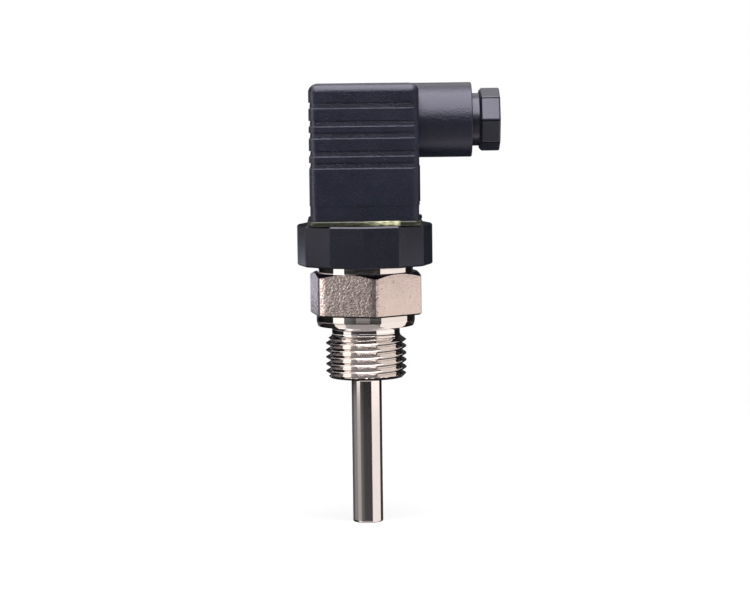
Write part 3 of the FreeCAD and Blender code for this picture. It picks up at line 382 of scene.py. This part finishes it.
def milled(name, tone, dark_tone, roughness):
    """The hexagon's flats: satin with a pitted grain and a few dark spots. From x = 2.6 mm towards the
    cable's side they are smoother, with fewer dark pits, no light flecks and lower roughness."""
    material, tree, shader = new_tree(name)
    cloud = noise(tree, 0.005, 4, roughness=0.65)
    pits = noise(tree, 0.00058, 1, roughness=0.6)
    # Share towards the cable's side (+X), where the flats get fewer dark pits, no light flecks, less pitting
    # relief and lower roughness.
    smooth_side = share_between(tree, own_axes(tree)["X"], SMOOTH_SIDE_START, SMOOTH_SIDE_END)
    flecks = ramp(tree, noise(tree, 0.0007, 1), (0.56, 0), (0.6, 1))
    spots = ramp(tree, noise(tree, 0.0011, 2), (0.66, 0), (0.72, 1))
    colour = mix_colours(tree, level(tree, cloud, 0, 0.6), tone, dark_tone)
    pitted = combine(tree, "MULTIPLY", ramp(tree, pits, (0.36, 1), (0.5, 0)), level(tree, smooth_side, 0.7, 0.15))
    colour = mix_colours(tree, pitted, colour, dark_tone)
    light = combine(tree, "MULTIPLY", flecks, level(tree, smooth_side, 0.6, 0.0))
    colour = mix_colours(tree, light, colour, FLECK_TONE)
    colour = mix_colours(tree, combine(tree, "MULTIPLY", spots, 0.4), colour, SPOT_TONE)
    tree.links.new(colour, shader.inputs["Base Color"])
    shader.inputs["Metallic"].default_value = 1
    rough = combine(tree, "ADD", level(tree, smooth_side, roughness, roughness * 0.35),
                    level(tree, cloud, -0.03, 0.05))
    tree.links.new(rough, shader.inputs["Roughness"])
    bump(tree, shader, combine(tree, "MULTIPLY", pits, level(tree, smooth_side, 1, 0.08)), 0.000085)
    return material


connection = turned_piece("process_connection_turned", connection_profile(), connection_angles())
finish_piece(
    connection, steel("PolishedSteel", (0.78, 0.73, 0.70), (0.68, 0.61, 0.57), 0.03, rings=0.0000007),
    "probe", "polished_steel", "process_connection",
)
connection.data.materials.append(milled("MilledSteel", (0.66, 0.55, 0.51), (0.46, 0.37, 0.33), 0.25))
for face in connection.data.polygons:
    middle = face.center / MM
    beside = COLLAR_TOP + HEXAGON_UNDER_BEVEL + 0.01 < middle.z < HEXAGON_TOP
    if beside and abs(face.normal.z) < 0.3 and math.hypot(middle.x, middle.y) > FLAT_INNER_EDGE:
        face.material_index = 1

# Probe tube
# A drawn stainless tube, closed and rounded at the tip, pushed into the connection and welded
# round with a small bead.

TUBE_RADIUS = 3.925
TUBE_BORE = 3.325
TUBE_TOP = 1.9
TIP = -51.4

even = [2 * math.pi * step / 96 for step in range(96)]
tube_inside = [(TUBE_BORE, TUBE_TOP), (TUBE_BORE, -50.4), (0.001, -50.55)]
tube_tip = [(0.001, TIP), (1.8, TIP), (3.475, TIP), (3.675, -51.37), (3.825, -51.28), (3.905, -51.15)]
tube_side = [(TUBE_RADIUS, -50.95), (TUBE_RADIUS, -50.8), (TUBE_RADIUS, -14.6), (TUBE_RADIUS, -14.3)]
weld_bead = [(4.15, -14.12), (4.33, -14.02), (4.46, -13.8), (4.5, -13.52), (4.4, -13.45)]
tube_end = [(TUBE_RADIUS, -13.4), (TUBE_RADIUS, TUBE_TOP)]
tube_profile = tube_inside + tube_tip + tube_side + weld_bead + tube_end
tube = turned_piece("probe_tube_drawn", tube_profile, even)
finish_piece(
    tube, steel("DrawnSteel", (0.74, 0.68, 0.65), (0.64, 0.59, 0.57), 0.075, rings=0.000002),
    "probe", "polished_steel", "probe_tube",
)

# Inside of the probe
# A ceramic resistor in white compound at the tip, a ceramic rod with three bores over it, and the
# insulated leads that run up to the blades. Nothing of it shows from outside.


def ceramic(name, tone, shade, roughness):
    """Fired ceramic or set compound: fine grain and faint clouds."""
    material, tree, shader = new_tree(name)
    cloud = noise(tree, 0.002, 4)
    tree.links.new(mix_colours(tree, cloud, tone, shade), shader.inputs["Base Color"])
    tree.links.new(level(tree, noise(tree, 0.0004, 3), roughness - 0.1, roughness + 0.1),
                   shader.inputs["Roughness"])
    bump(tree, shader, noise(tree, 0.0003, 3), 0.00002)
    return material


def insulation(name, tone, shade):
    """Thin extruded insulation, slightly wavy and satin."""
    material, tree, shader = new_tree(name)
    tree.links.new(mix_colours(tree, noise(tree, 0.003, 2), tone, shade), shader.inputs["Base Color"])
    tree.links.new(level(tree, noise(tree, 0.001, 2), 0.35, 0.5), shader.inputs["Roughness"])
    bump(tree, shader, noise(tree, 0.0006, 2), 0.00002)
    return material


def coat(node, material):
    """Gives a solid of the frame its finish."""
    nodes[node].data.materials.clear()
    nodes[node].data.materials.append(material)


fired = ceramic("FiredCeramic", (0.86, 0.85, 0.80), (0.78, 0.76, 0.70), 0.45)
coat("sensing_element", fired)
coat("wire_insulator", fired)
coat("thermal_compound", ceramic("SetCompound", (0.80, 0.79, 0.75), (0.70, 0.69, 0.64), 0.75))
red = insulation("RedInsulation", (0.55, 0.03, 0.02), (0.42, 0.02, 0.02))
coat("lead_wire_1", red)
coat("lead_wire_2", red)
coat("lead_wire_3", insulation("WhiteInsulation", (0.82, 0.82, 0.80), (0.72, 0.72, 0.70)))

# Plug head
# Black glass-filled plastic, moulded with twelve sides, four blades and a brass bush in it, and
# screwed down onto the steel spigot against a rubber ring.


def moulded_marks():
    """Fine spark-eroded grain, slow clouds and a few light rubbed specks."""
    group, out = new_group(
        "MouldedMarks",
        [("Cloud", "NodeSocketFloat"), ("Grain", "NodeSocketFloat"), ("Speck", "NodeSocketFloat")],
    )
    cloud = noise(group, 0.006, 4, roughness=0.6)
    grain = noise(group, 0.00045, 2, roughness=0.7)
    specks = noise(group, 0.0009, 5, roughness=0.7)
    patches = noise(group, 0.005, 2)
    speck = combine(group, "MULTIPLY", ramp(group, specks, (0.62, 0), (0.72, 1)),
                    ramp(group, patches, (0.45, 0), (0.62, 1)))
    group.links.new(cloud, out.inputs["Cloud"])
    group.links.new(grain, out.inputs["Grain"])
    group.links.new(speck, out.inputs["Speck"])
    return group


MOULDED = moulded_marks()


def plastic(name, tone, shade, roughness, grain=0.000012, specks=0.5, gloss=0.3):
    """Black moulded plastic, with a faint violet gloss."""
    material, tree, shader = new_tree(name)
    shader.inputs["Specular IOR Level"].default_value = gloss
    shader.inputs["Specular Tint"].default_value = (0.90, 0.86, 1, 1)
    marks = use_group(tree, MOULDED)
    colour = mix_colours(tree, marks["Cloud"], tone, shade)
    rubbed = tuple(min(part * 5 + 0.02, 1) for part in tone)
    colour = mix_colours(tree, combine(tree, "MULTIPLY", marks["Speck"], specks), colour, rubbed)
    tree.links.new(colour, shader.inputs["Base Color"])
    rough = combine(tree, "SUBTRACT", level(tree, marks["Cloud"], roughness - 0.05, roughness + 0.07),
                    combine(tree, "MULTIPLY", marks["Speck"], 0.08))
    tree.links.new(rough, shader.inputs["Roughness"])
    bump(tree, shader, marks["Grain"], grain)
    return material


def rubber(name, tone, shade, roughness):
    """Moulded rubber with a dull bloom."""
    material, tree, shader = new_tree(name)
    tree.links.new(mix_colours(tree, noise(tree, 0.003, 4), tone, shade), shader.inputs["Base Color"])
    tree.links.new(level(tree, noise(tree, 0.0015, 3), roughness - 0.08, roughness + 0.08),
                   shader.inputs["Roughness"])
    bump(tree, shader, noise(tree, 0.0002, 2), 0.00001)
    return material


coat("plug_head", plastic("HeadPlastic", (0.007, 0.009, 0.014), (0.012, 0.013, 0.019), 0.2,
                          grain=0.00002, specks=0.3, gloss=0.5))
black_rubber = rubber("BlackRubber", (0.020, 0.020, 0.021), (0.032, 0.031, 0.031), 0.6)
coat("neck_o_ring", black_rubber)

# Blades and bush
# Four stamped brass blades, tin plated, three of them for the leads and the wider-set fourth for
# earth, and a turned brass bush for the fixing screw, all held by the moulding.


def plated(name, tone, shade, roughness):
    """Stamped or turned metal with a thin plating: cloudy sheen and fine lines."""
    material, tree, shader = new_tree(name)
    tree.links.new(mix_colours(tree, noise(tree, 0.002, 4), tone, shade), shader.inputs["Base Color"])
    shader.inputs["Metallic"].default_value = 1
    tree.links.new(level(tree, noise(tree, 0.0008, 4), roughness - 0.08, roughness + 0.1),
                   shader.inputs["Roughness"])
    bump(tree, shader, noise(tree, 0.002, 3, (12, 12, 1)), 0.000006)
    return material


tin = plated("TinnedBrass", (0.72, 0.70, 0.64), (0.56, 0.53, 0.46), 0.3)
for blade in ("contact_blade_1", "contact_blade_2", "contact_blade_3", "earth_blade"):
    coat(blade, tin)
coat("threaded_bush", plated("TurnedBrass", (0.78, 0.58, 0.26), (0.62, 0.44, 0.18), 0.28))

# Gasket
# Moulded silicone, dark olive, squeezed between head and connector. Its edge is rounded and glossy,
# and a stretch of it has a painted glint: paler, yellowish colour standing in for light through it.

GASKET_HALF_SIDE = 0.016


def silicone(name):
    """Dark clouded silicone with a painted glint: a paler, streaky stretch towards the cable's side."""
    material, tree, shader = new_tree(name)
    cloud = noise(tree, 0.0022, 4, roughness=0.65)
    along = share_between(tree, own_axes(tree)["X"], -GASKET_HALF_SIDE, GASKET_HALF_SIDE)
    # Painted glint: a pale yellowish stretch along X, the same on front, top and back, stands in for light
    # through the silicone.
    painted_glint = ramp(tree, along, (0.2, 0), (0.45, 0.1), (0.56, 0.28), (0.62, 0.8), (0.76, 1), (0.785, 0))
    streaks = ramp(tree, noise(tree, 0.0016, 3, (1, 1, 4)), (0.38, 0.15), (0.58, 1))
    painted_glint = combine(tree, "MULTIPLY", painted_glint, streaks)
    dark = mix_colours(tree, cloud, (0.018, 0.020, 0.014), (0.030, 0.032, 0.020))
    tree.links.new(mix_colours(tree, painted_glint, dark, (0.72, 0.70, 0.44)), shader.inputs["Base Color"])
    tree.links.new(level(tree, cloud, 0.14, 0.3), shader.inputs["Roughness"])
    shader.inputs["Coat Weight"].default_value = 0.15
    shader.inputs["Specular IOR Level"].default_value = 0.35
    shader.inputs["Coat Roughness"].default_value = 0.08
    bump(tree, shader, noise(tree, 0.0012, 3), 0.00006)
    return material


def eased_copy(node, name, width):
    """The solid's own form with its sharp edges rounded by so many millimetres."""
    mesh = nodes[node].data.copy()
    mesh.name = name
    mesh.materials.clear()
    work = bmesh.new()
    work.from_mesh(mesh)
    bmesh.ops.remove_doubles(work, verts=work.verts, dist=WELD_DISTANCE)
    bmesh.ops.dissolve_limit(work, angle_limit=math.radians(0.5), verts=work.verts, edges=work.edges)
    work.to_mesh(mesh)
    work.free()
    piece = bpy.data.objects.new(name, mesh)
    bpy.context.scene.collection.objects.link(piece)
    ease = piece.modifiers.new("Ease", "BEVEL")
    ease.width = width * MM
    ease.segments = 3
    ease.limit_method = "ANGLE"
    ease.angle_limit = math.radians(50)
    ease.harden_normals = True
    return piece


finish_piece(eased_copy("head_gasket", "gasket_moulded", 0.35), silicone("OliveSilicone"),
             "probe", "olive_silicone", "head_gasket")

# Connector housing
# One moulding of black plastic: square body with grip grooves round three sides, smaller foot,
# round cable barrel, and the recess for the fixing screw on top.

coat("connector_housing", plastic("HousingPlastic", (0.006, 0.008, 0.016), (0.011, 0.013, 0.024), 0.3,
                                  grain=0.00009, specks=0.7, gloss=0.5))

# Terminal insert
# Grey-black plastic block with four chambers, each with a brass clamp contact and its screw.

coat("terminal_insert", plastic("InsertPlastic", (0.05, 0.05, 0.055), (0.07, 0.07, 0.075), 0.45))
zinc = plated("ZincSteel", (0.58, 0.58, 0.60), (0.44, 0.44, 0.46), 0.32)
for number in range(1, 5):
    coat(f"socket_contact_{number}", tin)
    coat(f"clamp_screw_{number}", zinc)

# Fixing screw
# One long slotted steel screw through the middle of the connector, with a rubber ring under its
# head in the recess.

coat("screw_seal", black_rubber)
coat("fixing_screw", zinc)

# Cable gland
# A black plastic nut with eight sides that presses a steel washer and a rubber grommet round the
# cable.

coat("cable_grommet", black_rubber)
coat("thrust_washer", zinc)

NUT_AXIS = (0, 0, 52.92)
NUT_SIDE = 7.58
NUT_START = 21.0
NUT_HEAD_START = 29.7
NUT_END = 35.05
NUT_BORE = 4.4
NUT_NECK = 6.775
NUT_THREAD = 7.6
NUT_RIM_ROUND = 0.5
CORNER_FLAT = 0.12
LINE_DEPTH = 0.36
LINE_WIDTH = 0.044


def nut_radius(angle, ease=0.0):
    """Distance to the nut's eight sides, with a fine moulded line along the lower side of each corner."""
    past = (angle + math.pi / 8) % (math.pi / 4) - math.pi / 8
    reach = NUT_SIDE / math.cos((angle % (math.pi / 4)) - math.pi / 8)
    below = past if math.cos(angle) < 0 else -past
    line = LINE_DEPTH * below / LINE_WIDTH if 0 < below < LINE_WIDTH + 0.001 else 0
    return min(reach, NUT_SIDE / math.cos(math.pi / 8) - CORNER_FLAT) - line - ease


def nut_angles():
    """Evenly spaced angles, closer together round the eight corners."""
    angles = {round(2 * math.pi * step / 96, 6) for step in range(96)}
    for corner in range(8):
        for step in (-0.046, -LINE_WIDTH, -0.03, -0.015, 0.0, 0.015, 0.03, LINE_WIDTH, 0.046):
            angles.add(round((corner * math.pi / 4 + step) % (2 * math.pi), 6))
    return sorted(angles)


def nut_profile():
    """Rows along the nut: through its bore, round the mouth, over the head and along the thread."""
    rows = [(NUT_BORE, NUT_START), (NUT_BORE, NUT_END - 0.7), (5.1, NUT_END)]
    for turn in (0, 22, 45, 68, 90):
        ease = NUT_RIM_ROUND - NUT_RIM_ROUND * math.sin(math.radians(turn))
        height = NUT_END - NUT_RIM_ROUND + NUT_RIM_ROUND * math.cos(math.radians(turn))
        rows.append(lambda angle, ease=ease, height=height: (nut_radius(angle, ease), height))
    rows += [
        lambda angle: (nut_radius(angle), NUT_HEAD_START + 0.7),
        lambda angle: (nut_radius(angle, 0.05), NUT_HEAD_START + 0.64),
        lambda angle: (nut_radius(angle, 0.65), NUT_HEAD_START + 0.05),
        lambda angle: (nut_radius(angle, 0.72), NUT_HEAD_START),
        (NUT_NECK, NUT_HEAD_START), (NUT_NECK, 27.8), (NUT_NECK, 27.35), (7.3, 27.3),
        (NUT_THREAD, 27.0), (NUT_THREAD, 21.5), (7.1, NUT_START),
    ]
    return rows


nut = turned_piece("gland_nut_moulded", nut_profile(), nut_angles(), "X", NUT_AXIS)
nut_plastic = plastic("NutPlastic", (0.008, 0.010, 0.016), (0.013, 0.015, 0.022), 0.3,
                      grain=0.00002, specks=0.3, gloss=0.6)
finish_piece(nut, nut_plastic, "gland", "black_plastic", "gland_nut")

# Floor, lights and camera
# A pale floor that fades into white, a soft light from above and to each side, and light and dark
# cards that only the gloss sees, as in a photographer's tent.

world = bpy.data.worlds.new("StudioWorld")
bpy.context.scene.world = world
world.use_nodes = True
sky = world.node_tree
background = next(node for node in sky.nodes if node.type == "BACKGROUND")
path = add(sky, "ShaderNodeLightPath")
seen = combine(sky, "MAXIMUM", combine(sky, "MAXIMUM", path.outputs["Is Camera Ray"],
                                       path.outputs["Is Glossy Ray"]), path.outputs["Is Transmission Ray"])
background.inputs["Color"].default_value = (1, 1, 1, 1)
sky.links.new(level(sky, seen, 0.42, 1.0), background.inputs["Strength"])

FLOOR_LEVEL = -0.0514
FLOOR_RADIUS = 0.32
FADE_START, FADE_END = 0.12, 0.31


def floor_disc():
    """A round floor, its rim fading out so that no edge shows."""
    work = bmesh.new()
    bmesh.ops.create_circle(work, cap_ends=True, radius=FLOOR_RADIUS, segments=128)
    mesh = bpy.data.meshes.new("StudioFloor")
    work.to_mesh(mesh)
    work.free()
    disc = bpy.data.objects.new("StudioFloor", mesh)
    disc.location = (0, 0, FLOOR_LEVEL - 0.00002)
    bpy.context.scene.collection.objects.link(disc)
    material, tree, shader = new_tree("PaleFloor")
    tree.links.new(mix_colours(tree, noise(tree, 0.05, 3), (0.92, 0.92, 0.92), (0.88, 0.88, 0.88)),
                   shader.inputs["Base Color"])
    shader.inputs["Roughness"].default_value = 0.8
    light_path = add(tree, "ShaderNodeLightPath").outputs["Is Camera Ray"]
    white = add(tree, "ShaderNodeEmission", inputs={"Color": (1, 1, 1, 1), "Strength": 1.0})
    lift = combine(tree, "MULTIPLY", light_path, 0.7)
    lifted = add(tree, "ShaderNodeMixShader", links={0: lift, 1: shader.outputs[0], 2: white.outputs[0]})
    clear = add(tree, "ShaderNodeBsdfTransparent")
    distance = add(tree, "ShaderNodeVectorMath", {"operation": "LENGTH"}, links={0: own_place(tree)})
    fade = share_between(tree, distance.outputs["Value"], FADE_START, FADE_END)
    whole = add(tree, "ShaderNodeMixShader", links={0: fade, 1: lifted.outputs[0], 2: clear.outputs[0]})
    output = next(node for node in tree.nodes if node.type == "OUTPUT_MATERIAL")
    tree.links.new(whole.outputs[0], output.inputs["Surface"])
    disc.data.materials.append(material)
    disc.visible_glossy = False


floor_disc()


CARD_DISTANCE = 600
CARD_FOOT = -1200
CARD_STEPS = 16
BAND_REACH = 0.6


def card(name, points, faces, tone, strength, bands=(), bearings=()):
    """A card that only the gloss sees. Its light is even, or varies in level bands of (height in
    metres, share) and round the object in (bearing in degrees, share)."""
    sheet = make_mesh(name, points, faces)
    material, tree, _ = new_tree(name)
    output = next(node for node in tree.nodes if node.type == "OUTPUT_MATERIAL")
    glow = add(tree, "ShaderNodeEmission", inputs={"Color": (*tone, 1), "Strength": strength})
    power = strength
    place = own_axes(tree)
    if bands:
        spread = share_between(tree, place["Z"], -BAND_REACH, BAND_REACH)
        stops = [((height + BAND_REACH) / (2 * BAND_REACH), share) for height, share in bands]
        power = combine(tree, "MULTIPLY", ramp(tree, spread, *stops), power)
    if bearings:
        bearing = combine(tree, "ARCTAN2", place["X"], combine(tree, "MULTIPLY", place["Y"], -1))
        spread = share_between(tree, bearing, -math.pi, math.pi)
        stops = [((degrees + 180) / 360, share) for degrees, share in bearings]
        power = combine(tree, "MULTIPLY", ramp(tree, spread, *stops), power)
    if bands or bearings:
        tree.links.new(power, glow.inputs["Strength"])
    tree.links.new(glow.outputs[0], output.inputs["Surface"])
    sheet.data.materials.append(material)
    for kind in ("camera", "diffuse", "transmission", "shadow", "volume_scatter"):
        setattr(sheet, f"visible_{kind}", False)


def bent_card(name, edge_pairs, *light):
    """A card through pairs of points, one pair after another."""
    points = [point for pair in edge_pairs for point in pair]
    faces = [(2 * step, 2 * step + 2, 2 * step + 3, 2 * step + 1) for step in range(len(edge_pairs) - 1)]
    card(name, points, faces, *light)


def upright_card(name, start, end, tone, strength, bands=(), bearings=(), high=150):
    """A card bent round the object between two bearings from the camera's side."""
    pairs = []
    for step in range(CARD_STEPS + 1):
        bearing = math.radians(start + (end - start) * step / CARD_STEPS)
        right, near = CARD_DISTANCE * math.sin(bearing), -CARD_DISTANCE * math.cos(bearing)
        pairs.append([(right, near, height) for height in (CARD_FOOT, high)])
    bent_card(name, pairs, tone, strength, bands, bearings)


def arched_card(name, half_width, start, end, tone, strength):
    """A card bent over the object from front to back between two elevations."""
    pairs = []
    for step in range(CARD_STEPS + 1):
        elevation = math.radians(start + (end - start) * step / CARD_STEPS)
        near, up = -CARD_DISTANCE * math.cos(elevation), CARD_DISTANCE * math.sin(elevation)
        pairs.append([(across, near, up) for across in (-half_width, half_width)])
    bent_card(name, pairs, tone, strength)


def low_card(name, front, back, tone, strength):
    """A level card low under the object, between two distances along Y."""
    left, right, height = -140, 110, -120
    corners = [(left, back, height), (right, back, height), (right, front, height), (left, front, height)]
    card(name, corners, [(0, 1, 2, 3)], tone, strength)


upright_card("CardBackLeft", -180, -150, (0.80, 0.82, 1), 1.6, (
    (-0.16, 0.03), (-0.15, 0.13), (-0.1, 0.13), (-0.085, 0.02), (-0.052, 0.02), (-0.046, 1), (-0.031, 1),
    (-0.024, 0.02)), high=500)
upright_card("CardLeft", -150, -82, (1, 0.96, 0.97), 1.1, (
    (-0.17, 0.02), (-0.155, 0.3), (-0.091, 0.3), (-0.087, 0.015), (-0.024, 0.015), (-0.018, 0.9), (0.08, 0.9),
    (0.1, 0.03)), ((-150, 0.2), (-130, 0.4), (-108, 1)), high=500)
upright_card("StripLeft", -82, -52, (1, 0.95, 0.93), 4.0, (
    (-0.3, 0.3), (-0.2, 0.18), (-0.15, 0.12), (-0.12, 0.14), (-0.0905, 0.14), (-0.087, 0.37), (-0.05, 0.37),
    (-0.046, 0.21), (-0.035, 0.21), (-0.033, 0.37), (-0.02, 0.5), (-0.005, 1), (0.08, 1), (0.12, 0.6)),
    high=2500)
upright_card("CardFrontLeft", -52, -23, (0.95, 0.95, 1), 0.9, (
    (-0.5, 0.05), (-0.4, 0.6), (-0.25, 0.5), (-0.2, 0.27), (-0.105, 0.22), (-0.09, 0.1), (-0.055, 0.12),
    (-0.046, 0.5), (-0.035, 0.5), (-0.0335, 0.01), (-0.0265, 0.01), (-0.024, 1), (-0.005, 1), (0.02, 0.5)),
    ((-52, 1), (-40, 0.9), (-30, 0.6), (-23, 0.5)), high=250)
upright_card("CardFront", -23, 9, (1, 0.97, 1), 0.9, (
    (-0.5, 0.02), (-0.4, 0.4), (-0.25, 0.4), (-0.2, 0.09), (-0.105, 0.08), (-0.09, 0.035), (-0.07, 0.04),
    (-0.062, 0.1), (-0.054, 0.1), (-0.047, 1), (-0.038, 1), (-0.0335, 0.01)), high=250)
upright_card("CardFrontRight", 9, 36, (1, 0.95, 0.97), 0.9, (
    (-0.5, 0.02), (-0.4, 0.3), (-0.25, 0.3), (-0.2, 0.09), (-0.105, 0.08), (-0.09, 0.035), (-0.052, 0.03),
    (-0.046, 1), (-0.035, 1), (-0.0335, 0.01), (-0.026, 0.01), (-0.015, 0.1), (0.15, 0.1)), high=250)
upright_card("CardRight", 36, 112, (1, 0.95, 0.92), 1.6, (
    (-0.3, 0.75), (-0.1, 0.75), (-0.09, 0.95), (-0.065, 0.95), (-0.06, 0.7), (-0.05, 0.7), (-0.043, 0.78),
    (-0.034, 0.78), (-0.032, 0.75), (-0.028, 0.75), (-0.027, 0.02), (0.15, 0.02)), high=250)
upright_card("CardFarRight", 112, 150, (1, 0.95, 0.95), 0.06, (
    (-0.16, 0.3), (-0.15, 1), (-0.1, 1), (-0.092, 0.2)), high=500)
upright_card("CardBackRight", 150, 180, (0.8, 0.84, 1), 0.05, high=500)
arched_card("CardTop", 300, 30, 103, (1, 0.98, 1), 6.5)
arched_card("CardTopBack", 500, 103, 150, (1, 0.98, 1), 1.2)
low_card("CardLowFront", -330, -70, (1, 0.95, 0.97), 0.42)
low_card("CardBelow", -70, -10, (1, 0.95, 0.95), 1.5)
rim = [(CARD_DISTANCE * math.cos(angle), CARD_DISTANCE * math.sin(angle), CARD_FOOT) for angle in even]
card("CardUnder", rim, [tuple(range(len(rim)))], (0.9, 0.95, 1), 0.02)


LIGHTS_AIM = (0.0, 0.0, 0.015)


def soft_light(name, place, size, watts, tone=(1, 1, 1)):
    """A square area light that faces the middle of the object."""
    lamp = bpy.data.lights.new(name, "AREA")
    lamp.shape = "RECTANGLE"
    lamp.size, lamp.size_y = size
    lamp.energy = watts
    lamp.color = tone
    holder = bpy.data.objects.new(name, lamp)
    holder.location = place
    aim = Vector(LIGHTS_AIM) - Vector(place)
    holder.rotation_euler = aim.to_track_quat("-Z", "Y").to_euler()
    holder.visible_glossy = False
    bpy.context.scene.collection.objects.link(holder)


soft_light("TopLight", (0.02, -0.15, 0.65), (0.5, 0.4), 5.0)
soft_light("LeftLight", (-0.62, -0.28, 0.12), (0.18, 0.5), 1.6)
soft_light("RightLight", (0.60, -0.30, 0.15), (0.4, 0.5), 3.0, (1.0, 0.97, 0.94))

CAMERA_PLACE = (-4.964, -680, 65.895)
CAMERA_LENS = 126.27

camera_data = bpy.data.cameras.new("PhotoCamera")
camera = bpy.data.objects.new("PhotoCamera", camera_data)
bpy.context.scene.collection.objects.link(camera)
bpy.context.scene.camera = camera
camera_data.sensor_width = 36
camera_data.lens = CAMERA_LENS
camera_data.clip_start = 0.01
yaw, pitch, roll = 0.010876, 0.089254, 0.012151
right = Vector((math.cos(yaw), -math.sin(yaw), 0))
away = Vector((math.sin(yaw), math.cos(yaw), 0))
ahead = away * math.cos(pitch) - Vector((0, 0, 1)) * math.sin(pitch)
up = away * math.sin(pitch) + Vector((0, 0, 1)) * math.cos(pitch)
side = right * math.cos(roll) - up * math.sin(roll)
over = right * math.sin(roll) + up * math.cos(roll)
turn = Matrix((side, over, -ahead)).transposed()
camera.matrix_world = Matrix.Translation(Vector(CAMERA_PLACE) * MM) @ turn.to_4x4()

bpy.context.scene.view_settings.view_transform = "Standard"
